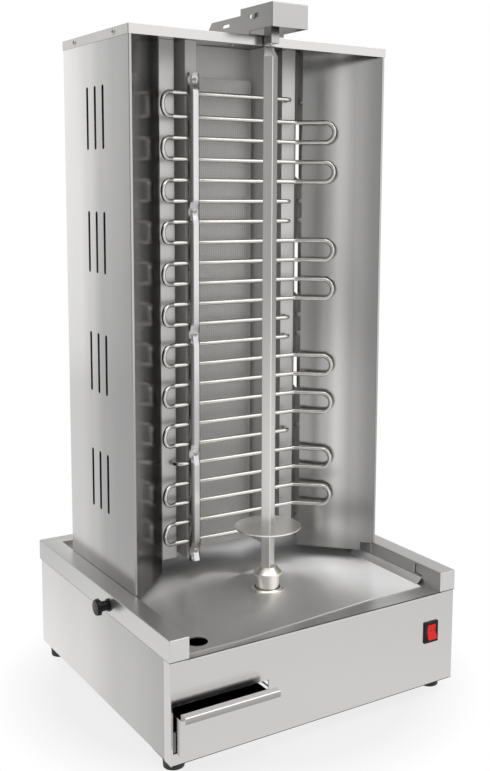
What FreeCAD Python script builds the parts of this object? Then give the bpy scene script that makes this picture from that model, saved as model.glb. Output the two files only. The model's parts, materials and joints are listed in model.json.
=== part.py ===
import FreeCAD, Part
import math
import os
import Sketcher
from FreeCAD import Placement, Rotation, Vector

# Countertop doner kebab grill: a low base with a drip tray and a drawer, a sheet metal tower
# with four electric heater zones that slides on the tray's rims, and an upright motor-driven spit.
# Millimetres. X is to the right, Y to the back, Z up. The sizes are laid out from the middle of
# the base, and every piece is then shifted so that the origin lies under the middle of the whole.

SIZES = [
    ("sheet", 1, "sheet metal of the case, the tray and the tower"),
    ("cover_width", 470, "tray cover, outside"),
    ("cover_depth", 454, "tray cover, outside"),
    ("rim_width", 28, "folded rim round the tray"),
    ("rim_height", 29, "rim above the tray floor"),
    ("cover_fold", 3, "fold down at the open front of the tray"),
    ("case_inset", 1, "base side walls, in from the cover"),
    ("case_height", 137, "base case"),
    ("case_flange", 14, "flange inside the top of the case"),
    ("foot_flange", 40, "flange inside the bottom of the case"),
    ("front_return", 18, "front panel where it wraps round the sides"),
    ("foot_height", 16, "rubber foot"),
    ("foot_diameter", 30, "rubber foot"),
    ("foot_side_inset", 19, "foot centre from the side walls"),
    ("foot_front_inset", 29, "foot centre from the front and the back"),
    ("foot_bolt", 6, "thread diameter"),
    ("slide_gap", 0.3, "running gap between pieces that slide"),
    ("pan_sheet", 1, "drip pan"),
    ("pan_gap", 0.6, "between the drip pan and the rims"),
    ("pan_front_left", 12, "pan front edge back from the cover front, on the left"),
    ("pan_front_right", 32, "pan front edge back from the cover front, on the right"),
    ("pan_corner_left", 90, "where the slanting front edge starts, from the left rim"),
    ("pan_corner_right", 107, "where it ends, from the right rim"),
    ("flank_width", 9, "sloping flank of the pan at the right rim"),
    ("flank_rise", 8, "sloping flank, height"),
    ("flank_front", 42, "flank start, from the cover front"),
    ("flank_length", 165, "flank, front to back"),
    ("window_front", 41, "small window in the right rim, from the cover front"),
    ("window_length", 18, "small window in the right rim"),
    ("window_height", 15, "small window in the right rim"),
    ("window_level", 11, "small window above the tray floor"),
    ("drain_left", 59, "drain hole centre from the cover's left side"),
    ("drain_front", 38, "drain hole centre from the cover front"),
    ("drain_bore", 29, "drain spout, inside"),
    ("drain_wall", 1, "drain spout"),
    ("drain_drop", 25, "drain spout below the tray floor"),
    ("drain_flange", 4.5, "drain spout flange"),
    ("drawer_left", 3.5, "drawer opening from the left of the front panel"),
    ("drawer_opening_width", 141, "opening in the front panel"),
    ("drawer_opening_height", 63, "opening in the front panel"),
    ("drawer_bottom", 16, "opening above the bottom of the case"),
    ("drawer_gap", 1, "round the drawer front in its opening"),
    ("drawer_pull", 20, "how far the drawer stands out in the picture"),
    ("drawer_tray_depth", 280, "drawer tray behind its front"),
    ("drawer_tray_height", 50, "drawer tray walls"),
    ("drawer_tray_inset", 2, "drawer tray in from the sides of its front"),
    ("handle_reach", 12, "folded lip on the drawer front, forward"),
    ("handle_drop", 9, "folded lip, down"),
    ("rivet_diameter", 5, "drawer rivets"),
    ("rail_ledge", 7, "drawer rail, width under the tray"),
    ("rail_height", 42, "drawer rail, side wall"),
    ("rail_length", 400, "drawer rail"),
    ("rocker_right", 43, "rocker switch centre from the right of the front panel"),
    ("rocker_level", 97, "rocker switch centre above the ground"),
    ("bezel_width", 25, "rocker switch bezel"),
    ("bezel_height", 32, "rocker switch bezel"),
    ("bezel_rise", 2.5, "bezel proud of the panel"),
    ("switch_width", 21, "rocker switch body"),
    ("switch_height", 28, "rocker switch body"),
    ("switch_depth", 26, "rocker switch body behind the panel"),
    ("rocker_width", 16, "red rocker"),
    ("rocker_height", 22, "red rocker"),
    ("rocker_rise", 2.5, "rocker proud of its bezel"),
    ("rocker_tilt", 8, "rocker either way from level, degrees"),
    ("spit_front", 147, "spit axis from the cover front"),
    ("spit_square", 15, "square spit rod"),
    ("spit_turn", 30, "turn of the rod about its axis, degrees"),
    ("spit_drop", 28, "top of the square rod below the top of the roof"),
    ("spit_point", 14, "height of the pyramid on the rod"),
    ("spit_pin", 4.5, "pin on top of the pyramid"),
    ("spit_pin_length", 14, "pin"),
    ("disc_diameter", 97, "meat disc"),
    ("disc_thickness", 2, "meat disc"),
    ("disc_rise", 59, "underside of the disc above the socket"),
    ("socket_diameter", 34.5, "spit socket"),
    ("socket_collar", 41, "spit socket, widest"),
    ("socket_mouth", 25, "spit socket, top of the chamfer"),
    ("socket_height", 35, "spit socket above the pan"),
    ("socket_chamfer", 9, "height of the chamfer"),
    ("socket_step", 3, "height of the widest band"),
    ("socket_grip", 22, "depth of the square hole for the rod"),
    ("shaft_diameter", 12, "drive shaft"),
    ("shaft_gap", 0.05, "running clearance of shafts, on the radius"),
    ("ring_diameter", 48, "bright ring on the pan round the socket"),
    ("ring_height", 3.5, "bright ring"),
    ("ring_wall", 5, "bright ring, width"),
    ("seal_height", 2.5, "rubber seal inside the ring"),
    ("bearing_diameter", 28, "lower bearing"),
    ("bearing_flange", 6, "lower bearing flange"),
    ("bearing_flange_height", 3, "lower bearing flange"),
    ("bracket_width", 90, "motor bracket"),
    ("bracket_depth", 80, "motor bracket"),
    ("bracket_sheet", 3, "motor bracket"),
    ("bracket_drop", 38, "motor bracket below the tray floor"),
    ("bracket_foot", 15, "motor bracket flanges"),
    ("gearbox_side", 70, "gearbox, square"),
    ("gearbox_height", 30, "gearbox"),
    ("motor_diameter", 58, "motor can"),
    ("motor_height", 52, "motor can"),
    ("shaft_grip", 24, "shaft inside the gearbox"),
    ("screw_diameter", 4, "small screws"),
    ("knob_diameter", 22, "clamp knob"),
    ("knob_length", 7, "clamp knob"),
    ("knob_reach", 20, "clamp knob end, out from the cover"),
    ("knob_neck", 14, "clamp knob neck"),
    ("knob_front", 185, "clamp knob from the cover front"),
    ("knob_drop", 16, "clamp knob below the top of the rim"),
    ("knob_screw", 6, "clamp screw"),
    ("washer_diameter", 18, "clamp washer on the rim"),
    ("washer_thickness", 2, "clamp washer"),
    ("gland_diameter", 16, "cable gland on the back"),
    ("gland_reach", 6, "cable gland behind the case"),
    ("tower_front", 158, "tower front edge from the cover front"),
    ("tower_depth", 223, "tower side panels"),
    ("tower_top", 946, "underside of the roof sheet above the ground"),
    ("front_flange", 4, "side panel fold behind the wings"),
    ("back_flange", 4, "side panel fold at the back"),
    ("vent_width", 6.5, "slots in the left side"),
    ("vent_height", 86, "slots in the left side"),
    ("vent_pitch", 26.5, "slots, front to back"),
    ("vent_drop", 70, "top of the slots below the roof"),
    ("vent_first", 277, "lowest group above the ground"),
    ("vent_front", 84.5, "first slot from the tower front"),
    ("runner_sheet", 1.5, "tower runners"),
    ("runner_length", 200, "tower runners"),
    ("runner_rise", 22, "runners above the top of the rim"),
    ("wing_back", 122, "wing back edge from the middle"),
    ("wing_depth", 90, "wing, front to back"),
    ("wing_bottom", 170, "wing above the ground"),
    ("wing_notch", 14, "notch at the foot of the right wing beside the rim"),
    ("facet_width", 6.5, "slotted facet behind the wing, sideways"),
    ("facet_depth", 11, "slotted facet, front to back"),
    ("facet_slot", 9, "see-through slots in the facet"),
    ("plate_width", 24, "upright plate beside the heater recess"),
    ("recess_depth", 27, "heater recess behind the plates"),
    ("cover_band", 110, "full width part of the back cover, upright"),
    ("heater_bottom", 186, "heater plates above the ground"),
    ("board_width", 88, "ceramic fibre board"),
    ("board_thickness", 15, "ceramic fibre board"),
    ("board_bottom", 192, "ceramic fibre board above the ground"),
    ("board_drop", 48, "ceramic fibre board below the roof"),
    ("box_depth", 45, "terminal box behind the recess"),
    ("tube_diameter", 6.5, "heating tube"),
    ("tube_level", 6, "tube plane forward of the wing back edge"),
    ("tube_drop", 74, "first pass of the heating tubes below the roof"),
    ("tube_first_gap", 33.4, "gap under the very first pass"),
    ("tube_bottom", 214.9, "last pass above the ground"),
    ("tube_bend_right", 105, "where the tubes turn forward on the right"),
    ("tube_bend_left", 104, "where they turn forward on the left"),
    ("tube_tip_right", 44, "right loops beyond the turn, sideways"),
    ("tube_tip_forward", 40, "right loops beyond the turn, forward"),
    ("tube_tip_left", 19, "left loops beyond the turn, sideways"),
    ("tube_tip_left_forward", 8, "left loops beyond the turn, forward"),
    ("tube_end", 99, "tube ends from the middle"),
    ("tube_hook", 11, "bend radius of the tube ends"),
    ("tube_tail", 38, "tube ends behind the plates"),
    ("nut_across", 13, "nuts on the tube ends, across the flats"),
    ("nut_height", 5, "nuts on the tube ends"),
    ("strip_left", 72, "left clamp strip from the middle"),
    ("strip_right", 60, "right clamp strip from the middle"),
    ("strip_width", 18, "clamp strips"),
    ("strip_depth", 7, "clamp strips, front to back"),
    ("strip_bottom", 185, "clamp strips above the ground"),
    ("strip_drop", 46, "clamp strips below the roof"),
    ("strip_screw_head", 8, "clamp strip screws"),
    ("roof_edge", 13, "roof skirt"),
    ("arm_width", 57, "top arm, outside"),
    ("arm_sheet", 1.5, "top arm"),
    ("arm_height", 28, "low part of the top arm"),
    ("arm_back", 118, "top arm behind the tower front"),
    ("head_front", 60, "head of the arm forward of the tower front"),
    ("head_length", 83, "head of the arm"),
    ("head_bottom", 5, "head of the arm above the roof"),
    ("head_height", 32, "head of the arm"),
    ("slot_front", 27, "arm slot from the tower front"),
    ("slot_length", 27, "slot in the arm for the clamp screw"),
    ("slot_height", 5.4, "slot in the arm"),
    ("slot_level", 24, "slot above the roof"),
    ("block_width", 13, "bearing block"),
    ("block_depth", 20, "bearing block"),
    ("block_drop", 11, "bearing block below the top of the roof"),
    ("plate_thickness", 3, "carriage plate inside the head"),
    ("bush_diameter", 9, "upper bush"),
]

doc = FreeCAD.newDocument("DonerGrill")
sheet = doc.addObject("Spreadsheet::Sheet", "Sizes")


class Size:
    """A number together with the spreadsheet expression that gives it."""

    def __init__(self, text, value):
        self.text = text
        self.value = float(value)

    def __add__(self, other):
        other = as_size(other)
        return Size(f"({self.text} + {other.text})", self.value + other.value)

    def __sub__(self, other):
        other = as_size(other)
        return Size(f"({self.text} - {other.text})", self.value - other.value)

    def __mul__(self, other):
        other = as_size(other)
        return Size(f"({self.text} * {other.text})", self.value * other.value)

    def __truediv__(self, other):
        other = as_size(other)
        return Size(f"({self.text} / {other.text})", self.value / other.value)

    def __neg__(self):
        return Size(f"(0 - {self.text})", -self.value)

    def __radd__(self, other):
        return as_size(other) + self

    def __rsub__(self, other):
        return as_size(other) - self

    def __rmul__(self, other):
        return as_size(other) * self


def as_size(number):
    if isinstance(number, Size):
        return number
    return Size(f"({number})", number)


def root(square):
    return Size(f"sqrt({square.text})", math.sqrt(square.value))


class Sheet:
    """The driving sizes by name, each bound to its spreadsheet cell."""


s = Sheet()
for row, (alias, value, note) in enumerate(SIZES, 1):
    sheet.set(f"A{row}", str(value))
    sheet.setAlias(f"A{row}", alias)
    sheet.set(f"B{row}", note)
    setattr(s, alias, Size(f"Sizes.{alias}", value))
doc.recompute()


class Circle:
    def __init__(self, x, y, radius):
        self.x = as_size(x)
        self.y = as_size(y)
        self.radius = as_size(radius)


class Slot:
    """A slot with round ends, from (x, y) on by `length` along the sketch's y, or x if flat."""

    def __init__(self, x, y, length, width, flat=False):
        radius = width / 2
        x, y = as_size(x), as_size(y)
        if flat:
            self.ends = [(x + radius, y), (x + length - radius, y)]
            self.corners = [
                (x + length - radius, y - radius), (x + length - radius, y + radius),
                (x + radius, y + radius), (x + radius, y - radius),
            ]
        else:
            self.ends = [(x, y + radius), (x, y + length - radius)]
            self.corners = [
                (x + radius, y + length - radius), (x - radius, y + length - radius),
                (x - radius, y + radius), (x + radius, y + radius),
            ]
        self.radius = radius
        self.flat = flat


def box(x0, x1, y0, y1):
    return [(x0, y0), (x1, y0), (x1, y1), (x0, y1)]


def mirrored(loop):
    return [(-as_size(x), y) for x, y in loop]


def hexagon(x, y, across):
    """A hexagon with two flats upright."""
    half = across / 2
    reach = across / root(as_size(3))
    return [
        (x + half, y - reach / 2), (x + half, y + reach / 2), (x, y + reach),
        (x - half, y + reach / 2), (x - half, y - reach / 2), (x, y - reach),
    ]


PLANES = {"top": "XY_Plane", "front": "XZ_Plane", "side": "YZ_Plane"}


class Drawing:
    """A sketch on one of a body's own planes, with every corner tied to the sheet."""

    def __init__(self, body, plane, level, loops):
        self.sketch = body.newObject("Sketcher::SketchObject", body.Name + "_sketch")
        support = [f for f in body.Origin.OriginFeatures if f.Role == PLANES[plane]]
        self.sketch.AttachmentSupport = [(support[0], "")]
        self.sketch.MapMode = "FlatFace"
        offset = -level if plane == "front" else level
        self.sketch.AttachmentOffset = Placement(Vector(0, 0, offset.value), Rotation())
        self.sketch.setExpression("AttachmentOffset.Base.z", offset.text)
        for loop in loops:
            if isinstance(loop, Circle):
                self.circle(loop)
            elif isinstance(loop, Slot):
                self.slot(loop)
            else:
                self.polygon(loop)

    def fix(self, kind, geometry, point, number):
        number = as_size(number)
        index = self.sketch.addConstraint(
            Sketcher.Constraint(kind, -1, 1, geometry, point, number.value))
        self.sketch.setExpression(f"Constraints[{index}]", number.text)

    def place(self, geometry, point, x, y):
        self.fix("DistanceX", geometry, point, x)
        self.fix("DistanceY", geometry, point, y)

    def polygon(self, corners):
        corners = [(as_size(x), as_size(y)) for x, y in corners]
        first = None
        for number, (x, y) in enumerate(corners):
            x1, y1 = corners[(number + 1) % len(corners)]
            line = Part.LineSegment(Vector(x.value, y.value, 0), Vector(x1.value, y1.value, 0))
            index = self.sketch.addGeometry(line, False)
            self.place(index, 1, x, y)
            if first is None:
                first = index
            else:
                self.sketch.addConstraint(Sketcher.Constraint("Coincident", index - 1, 2, index, 1))
        self.sketch.addConstraint(Sketcher.Constraint("Coincident", index, 2, first, 1))

    def circle(self, ring):
        centre = Vector(ring.x.value, ring.y.value, 0)
        shape = Part.Circle(centre, Vector(0, 0, 1), ring.radius.value)
        index = self.sketch.addGeometry(shape, False)
        self.place(index, 3, ring.x, ring.y)
        radius = self.sketch.addConstraint(Sketcher.Constraint("Radius", index, ring.radius.value))
        self.sketch.setExpression(f"Constraints[{radius}]", ring.radius.text)

    def slot(self, slot):
        low, high = slot.ends
        near, far, back, home = slot.corners
        start = -math.pi / 2 if slot.flat else 0
        far_arc = self.arc(high, slot.radius, start)
        top = self.line(far, back)
        near_arc = self.arc(low, slot.radius, start + math.pi)
        bottom = self.line(home, near)
        for index, end, begin in ((far_arc, near, far), (near_arc, back, home)):
            self.place(index, 1, *end)
            self.place(index, 2, *begin)
        axis = "DistanceX" if slot.flat else "DistanceY"
        part = 0 if slot.flat else 1
        self.fix(axis, far_arc, 3, high[part])
        self.fix(axis, near_arc, 3, low[part])
        for one, other in ((far_arc, top), (top, near_arc), (near_arc, bottom), (bottom, far_arc)):
            self.sketch.addConstraint(Sketcher.Constraint("Coincident", one, 2, other, 1))

    def arc(self, centre, radius, start):
        ring = Part.Circle(Vector(centre[0].value, centre[1].value, 0), Vector(0, 0, 1), radius.value)
        return self.sketch.addGeometry(Part.ArcOfCircle(ring, start, start + math.pi), False)

    def line(self, begin, end):
        segment = Part.LineSegment(
            Vector(begin[0].value, begin[1].value, 0), Vector(end[0].value, end[1].value, 0))
        return self.sketch.addGeometry(segment, False)


class Piece:
    """A PartDesign body built from pads and pockets between two levels."""

    def __init__(self, name):
        self.object = doc.addObject("PartDesign::Body", name)
        self.object.Label = name
        self.name = name

    def pad(self, plane, start, end, *loops):
        start, end = as_size(start), as_size(end)
        level = end if plane == "front" else start
        drawing = Drawing(self.object, plane, level, loops)
        pad = self.object.newObject("PartDesign::Pad", self.name + "_pad")
        pad.Profile = drawing.sketch
        pad.Length = (end - start).value
        pad.setExpression("Length", (end - start).text)
        return self

    def cut(self, plane, start, end, *loops):
        start, end = as_size(start), as_size(end)
        level = start if plane == "front" else end
        drawing = Drawing(self.object, plane, level, loops)
        pocket = self.object.newObject("PartDesign::Pocket", self.name + "_pocket")
        pocket.Profile = drawing.sketch
        pocket.Length = (end - start).value
        pocket.setExpression("Length", (end - start).text)
        return self

    def turn(self, *loops):
        """Spins loops of (radius, height) about the piece's own Z axis."""
        drawing = Drawing(self.object, "front", as_size(0), loops)
        spin = self.object.newObject("PartDesign::Revolution", self.name + "_turned")
        spin.Profile = drawing.sketch
        spin.ReferenceAxis = (drawing.sketch, ["V_Axis"])
        spin.Angle = 360
        return self

    def loft(self, plane, start, end, low, high):
        """Joins one outline at `start` to another at `end`."""
        lower = Drawing(self.object, plane, as_size(start), [low])
        upper = Drawing(self.object, plane, as_size(end), [high])
        loft = self.object.newObject("PartDesign::AdditiveLoft", self.name + "_loft")
        loft.Profile = lower.sketch
        loft.Sections = [upper.sketch]
        loft.Ruled = True
        return self

    def at(self, x, y, z, rotation=None):
        """Puts the piece's own origin at a point."""
        place(self.object, x, y, z, rotation)
        return self


def place(thing, x, y, z, rotation=None):
    x, y, z = as_size(x), as_size(y), as_size(z)
    thing.Placement = Placement(Vector(x.value, y.value, z.value), rotation or Rotation())
    for axis, number in (("x", x), ("y", y), ("z", z)):
        thing.setExpression(f"Placement.Base.{axis}", number.text)


ALONG_X = Rotation(Vector(0, 1, 0), 90)
ALONG_MINUS_X = Rotation(Vector(0, 1, 0), -90)
ALONG_Y = Rotation(Vector(1, 0, 0), -90)
ALONG_MINUS_Y = Rotation(Vector(1, 0, 0), 90)
UPSIDE_DOWN = Rotation(Vector(1, 0, 0), 180)

# Levels above the ground.
case_top = s.foot_height + s.case_height
deck_top = case_top + s.sheet
rim_top = deck_top + s.rim_height
pan_top = deck_top + s.pan_sheet
roof_top = s.tower_top + s.sheet

# Half widths and depths of the base.
cover_x = s.cover_width / 2
cover_y = s.cover_depth / 2
rim_x = cover_x - s.rim_width
rim_y = cover_y - s.rim_width
panel_x = cover_x - s.case_inset
panel_y = cover_y - s.case_inset
wall_x = panel_x - s.sheet
wall_y = panel_y - s.sheet

# The spit's axis and the drawer.
spit_y = s.spit_front - cover_y
opening_left = s.drawer_left - panel_x
opening_right = opening_left + s.drawer_opening_width
opening_bottom = s.foot_height + s.drawer_bottom
opening_top = opening_bottom + s.drawer_opening_height
drawer_face = -panel_y - s.drawer_pull

# The tower.
tower_x = rim_x + s.sheet
side_x = tower_x - s.sheet
tower_y = s.tower_front - cover_y
tower_back = tower_y + s.tower_depth
wing_y = tower_y + s.wing_depth
plate_y = wing_y + s.facet_depth
plate_x = s.wing_back - s.facet_width
recess_x = plate_x - s.plate_width
recess_y = plate_y + s.recess_depth
tube_y = wing_y - s.tube_level
heater_top = s.tower_top - s.slide_gap
board_top = s.tower_top - s.board_drop
strip_top = s.tower_top - s.strip_drop


# The heating tubes: how many passes each zone has, and the height of a step between them.
def zone_passes():
    return 6, 6, 6, 5


tube_top = s.tower_top - s.tube_drop
tube_pitch = (tube_top - s.tube_first_gap - s.tube_bottom) / (sum(zone_passes()) - 2)

# The origin lies under the middle of everything: the knob reaches furthest left and the
# drawer's lip furthest forward.
knob_end = cover_x + s.knob_reach
home_x = (knob_end - cover_x) / 2
home_y = (-drawer_face + s.handle_reach - cover_y) / 2

nodes = []


def node(piece, x=0, y=0, z=0, rotation=None):
    """Names a finished sub-part and puts it in its place from the shifted origin."""
    thing = piece.object if isinstance(piece, Piece) else piece
    place(thing, home_x + x, home_y + y, z, rotation)
    nodes.append(thing)
    return thing


def group(name, pieces):
    """Like pieces that share one sub-part, each still a solid of its own."""
    bundle = doc.addObject("Part::Compound", name)
    bundle.Label = name
    bundle.Links = [piece.object for piece in pieces]
    return bundle


def screw(name, head, shank, length, head_height):
    """A round-headed screw standing on its origin, head up."""
    return Piece(name).turn([
        (as_size(0), -length), (shank / 2, -length), (shank / 2, as_size(0)), (head / 2, as_size(0)),
        (head / 2, head_height * 0.6), (head * 0.3, head_height), (as_size(0), head_height),
    ])


def tray_cover():
    """One folded sheet: floor, hollow rims left, right and back, open at the front."""
    left, inner = -cover_x, -rim_x
    half = [
        (left, case_top), (left + s.sheet, case_top), (left + s.sheet, rim_top - s.sheet),
        (inner - s.sheet, rim_top - s.sheet), (inner - s.sheet, case_top),
    ]
    top_half = [(inner, deck_top), (inner, rim_top), (left, rim_top)]
    outline = half + mirrored(half)[::-1] + mirrored(top_half)[::-1] + top_half
    cover = Piece("tray_cover").pad("front", -cover_y, cover_y, outline)
    cover.pad("side", inner, rim_x, [
        (rim_y, deck_top), (rim_y + s.sheet, deck_top), (rim_y + s.sheet, rim_top - s.sheet),
        (cover_y - s.sheet, rim_top - s.sheet), (cover_y - s.sheet, case_top), (cover_y, case_top),
        (cover_y, rim_top), (rim_y, rim_top),
    ])
    cap = box(left, inner, deck_top, rim_top)
    cover.pad("front", -cover_y, s.sheet - cover_y, cap, mirrored(cap))
    cap = box(left, inner, case_top, rim_top)
    cover.pad("front", cover_y - s.sheet, cover_y, cap, mirrored(cap))
    cover.pad("front", -cover_y, s.sheet - cover_y, box(inner, rim_x, case_top - s.cover_fold, case_top))
    hub = s.bearing_diameter / 2 + s.slide_gap
    cover.cut("top", case_top, deck_top, Circle(0, spit_y, hub), drain_hole())
    knob_hole = Circle(knob_y, knob_z, s.knob_screw / 2 + s.slide_gap)
    cover.cut("side", left, inner, knob_hole)
    start, level = s.window_front - cover_y, deck_top + s.window_level
    window = box(start, start + s.window_length, level, level + s.window_height)
    cover.cut("side", rim_x, rim_x + s.sheet, window)
    node(cover)


def drain_hole():
    x = s.drain_left - cover_x
    y = s.drain_front - cover_y
    return Circle(x, y, s.drain_bore / 2 + s.drain_wall + s.slide_gap)


def drip_pan():
    """A loose pan between the rims, with a slanting front edge and a flank up the right rim."""
    side = rim_x - s.pan_gap
    back = rim_y - s.pan_gap
    flat = side - s.flank_width
    front_left = s.pan_front_left - cover_y
    front_right = s.pan_front_right - cover_y
    pan = Piece("drip_pan").pad("top", deck_top, pan_top, [
        (-side, back), (-side, front_left), (s.pan_corner_left - rim_x, front_left),
        (rim_x - s.pan_corner_right, front_right), (flat, front_right), (flat, back),
    ])
    start = s.flank_front - cover_y
    pan.pad("front", start, start + s.flank_length, [
        (flat - s.sheet, deck_top), (flat, deck_top), (side, deck_top + s.flank_rise),
        (side, pan_top + s.flank_rise), (side - s.sheet, pan_top + s.flank_rise), (flat - s.sheet, pan_top),
    ])
    hub = s.bearing_diameter / 2 + s.slide_gap
    pan.cut("top", deck_top, pan_top, Circle(0, spit_y, hub), drain_hole())
    node(pan)


def drain_spout():
    bore = s.drain_bore / 2
    outer = bore + s.drain_wall
    top = pan_top - case_top
    node(Piece("drain_spout").turn([
        (bore, -s.drain_drop), (outer, -s.drain_drop), (outer, -s.drain_wall),
        (outer + s.drain_flange, -s.drain_wall), (outer + s.drain_flange, as_size(0)),
        (outer, as_size(0)), (outer, top), (bore, top),
    ]), s.drain_left - cover_x, s.drain_front - cover_y, case_top)


def wall_plan(reach, front):
    """Plan of a strip along the left, back and right walls, `reach` wide, inside the walls."""
    x, y = wall_x - reach, wall_y - reach
    return [
        (-wall_x, front), (-x, front), (-x, y), (x, y), (x, front), (wall_x, front),
        (wall_x, wall_y), (-wall_x, wall_y),
    ]


def base_case():
    """Left, back and right walls with flanges turned in at the top and the bottom."""
    front = s.sheet - panel_y
    case = Piece("base_case").pad("top", s.foot_height, case_top, wall_plan(s.sheet, front))
    behind = front + s.case_flange
    case.pad("top", case_top - s.sheet, case_top, wall_plan(s.case_flange, behind))
    bolts = [Circle(x, y, s.foot_bolt / 2 + s.slide_gap) for x, y in foot_places()]
    front = s.sheet - panel_y + s.sheet + s.foot_flange
    case.pad("top", s.foot_height, s.foot_height + s.sheet, wall_plan(s.foot_flange, front))
    case.cut("top", s.foot_height, s.foot_height + s.sheet, *bolts[2:])
    gland = s.gland_diameter / 2 + s.slide_gap
    case.cut("front", wall_y - s.sheet, wall_y, Circle(*gland_place(), gland))
    node(case)


def front_panel():
    """The front with its drawer opening and switch cut-out, wrapped round both sides."""
    front = -panel_y
    rocker_x = panel_x - s.rocker_right
    half_wide = s.switch_width / 2 + s.slide_gap
    half_high = s.switch_height / 2 + s.slide_gap
    cut_out = box(rocker_x - half_wide, rocker_x + half_wide,
                  s.rocker_level - half_high, s.rocker_level + half_high)
    opening = box(opening_left, opening_right, opening_bottom, opening_top)
    face = box(-panel_x, panel_x, s.foot_height, case_top)
    panel = Piece("front_panel").pad("front", front, front + s.sheet, face, opening, cut_out)
    wrap = box(-panel_x, -wall_x, s.foot_height, case_top)
    panel.pad("front", front, front + s.front_return, wrap, mirrored(wrap))
    reach = wall_x - s.sheet
    panel.pad("top", case_top - s.sheet, case_top, box(-reach, reach, front, front + s.case_flange))
    bolts = [Circle(x, y, s.foot_bolt / 2 + s.slide_gap) for x, y in foot_places()]
    panel.pad("top", s.foot_height, s.foot_height + s.sheet,
              box(-reach, reach, front, front + s.foot_flange), *bolts[:2])
    node(panel)


def foot_places():
    x, y = panel_x - s.foot_side_inset, panel_y - s.foot_front_inset
    return [(-x, -y), (x, -y), (-x, y), (x, y)]


def base_floor():
    """Bottom plate on the flanges, with slots that cool the motor."""
    level = s.foot_height + s.sheet
    x, y = wall_x - s.sheet * 2, wall_y - s.sheet
    front = s.sheet * 2 - panel_y
    bolts = [Circle(a, b, s.foot_bolt / 2 + s.slide_gap) for a, b in foot_places()]
    pitch = s.gearbox_side / 7
    slots = [
        Slot(pitch * column, spit_y - s.gearbox_side / 2, s.gearbox_side, s.vent_width)
        for column in range(-3, 4)
    ]
    node(Piece("base_floor").pad("top", level, level + s.sheet, box(-x, x, front, y), *bolts, *slots))


def feet():
    """Tapered rubber feet, their bolts from below and the nuts on the floor plate."""
    radius = s.foot_diameter / 2
    seat = s.foot_height / 2
    head = s.foot_bolt * 1.2
    shank = s.foot_bolt / 2
    feet, bolts, nuts = [], [], []
    for number, (x, y) in enumerate(foot_places()):
        foot = Piece(f"foot_{number}").turn([
            (head, as_size(0)), (radius - s.sheet, as_size(0)), (radius, s.foot_height),
            (shank, s.foot_height), (shank, seat), (head, seat),
        ])
        feet.append(foot.at(x, y, 0))
        top = s.foot_height + s.sheet * 2
        bolt = Piece(f"foot_bolt_{number}").turn([
            (as_size(0), seat - s.foot_bolt * 0.6), (head - s.slide_gap, seat - s.foot_bolt * 0.6),
            (head - s.slide_gap, seat), (shank, seat), (shank, top + s.foot_bolt), (as_size(0), top + s.foot_bolt),
        ])
        bolts.append(bolt.at(x, y, 0))
        nut = Piece(f"foot_nut_{number}").pad(
            "top", top, top + s.foot_bolt * 0.8, hexagon(x, y, s.foot_bolt * 1.7), Circle(x, y, shank))
        nuts.append(nut)
    node(group("rubber_feet", feet))
    node(group("foot_bolts", bolts))
    node(group("foot_nuts", nuts))


def motor_bracket():
    """A hat-shaped bracket under the tray floor."""
    half = s.bracket_width / 2
    wide = half + s.bracket_foot
    low = case_top - s.bracket_drop
    thick = s.bracket_sheet
    side = [(wide, case_top), (wide, case_top - thick), (half, case_top - thick), (half, low)]
    inside = [(half - thick, low + thick), (half - thick, case_top)]
    outline = mirrored(side) + side[::-1] + inside[::-1] + mirrored(inside)
    front = spit_y - s.bracket_depth / 2
    bracket = Piece("motor_bracket").pad("front", front, front + s.bracket_depth, outline)
    screws = [Circle(x, y, s.screw_diameter / 2 + s.slide_gap) for x, y in motor_screw_places()]
    neck = s.shaft_diameter / 2 + s.bracket_sheet
    bracket.cut("top", low, low + thick, Circle(0, spit_y, neck), *screws)
    node(bracket)


def motor_screw_places():
    reach = s.gearbox_side / 2 - s.screw_diameter * 2
    return [(x, spit_y + y) for x in (-reach, reach) for y in (-reach, reach)]


def gear_motor():
    """A gearbox with its motor below; the drive shaft turns in its bore."""
    top = case_top - s.bracket_drop
    low = top - s.gearbox_height
    half = s.gearbox_side / 2
    bore = s.shaft_diameter / 2 + s.shaft_gap
    motor = Piece("gear_motor").pad("top", low, top, box(-half, half, spit_y - half, spit_y + half))
    motor.pad("top", low - s.motor_height, low, Circle(0, spit_y, s.motor_diameter / 2))
    motor.cut("top", top - s.shaft_grip - s.sheet, top, Circle(0, spit_y, bore))
    holes = [Circle(x, y, s.screw_diameter / 2) for x, y in motor_screw_places()]
    motor.cut("top", top - s.screw_diameter * 3, top, *holes)
    node(motor)
    screws = []
    for number, (x, y) in enumerate(motor_screw_places()):
        one = screw(f"motor_screw_{number}", s.screw_diameter * 2, s.screw_diameter,
                    s.screw_diameter * 2.5, s.screw_diameter * 0.6)
        screws.append(one.at(x, y, top + s.bracket_sheet))
    node(group("motor_screws", screws))


def bearing_and_seal():
    """The shaft's bearing in the tray floor, with the bright ring and rubber seal above it."""
    bore = s.shaft_diameter / 2 + s.shaft_gap
    outer = s.bearing_diameter / 2
    wide = outer + s.bearing_flange
    top = pan_top - case_top
    node(Piece("lower_bearing").turn([
        (bore, -s.bearing_flange_height), (wide, -s.bearing_flange_height), (wide, as_size(0)),
        (outer, as_size(0)), (outer, top), (bore, top),
    ]), 0, spit_y, case_top)
    radius = s.ring_diameter / 2
    inside = radius - s.ring_wall
    node(Piece("deck_ring").turn([
        (inside, as_size(0)), (radius, as_size(0)), (radius, s.ring_height * 0.5),
        (radius - s.ring_height * 0.5, s.ring_height), (inside, s.ring_height),
    ]), 0, spit_y, pan_top)
    lip = s.socket_diameter / 2 + s.slide_gap
    node(Piece("shaft_seal").turn([
        (lip, as_size(0)), (inside, as_size(0)), (inside, s.seal_height), (lip, s.seal_height),
    ]), 0, spit_y, pan_top)


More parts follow.
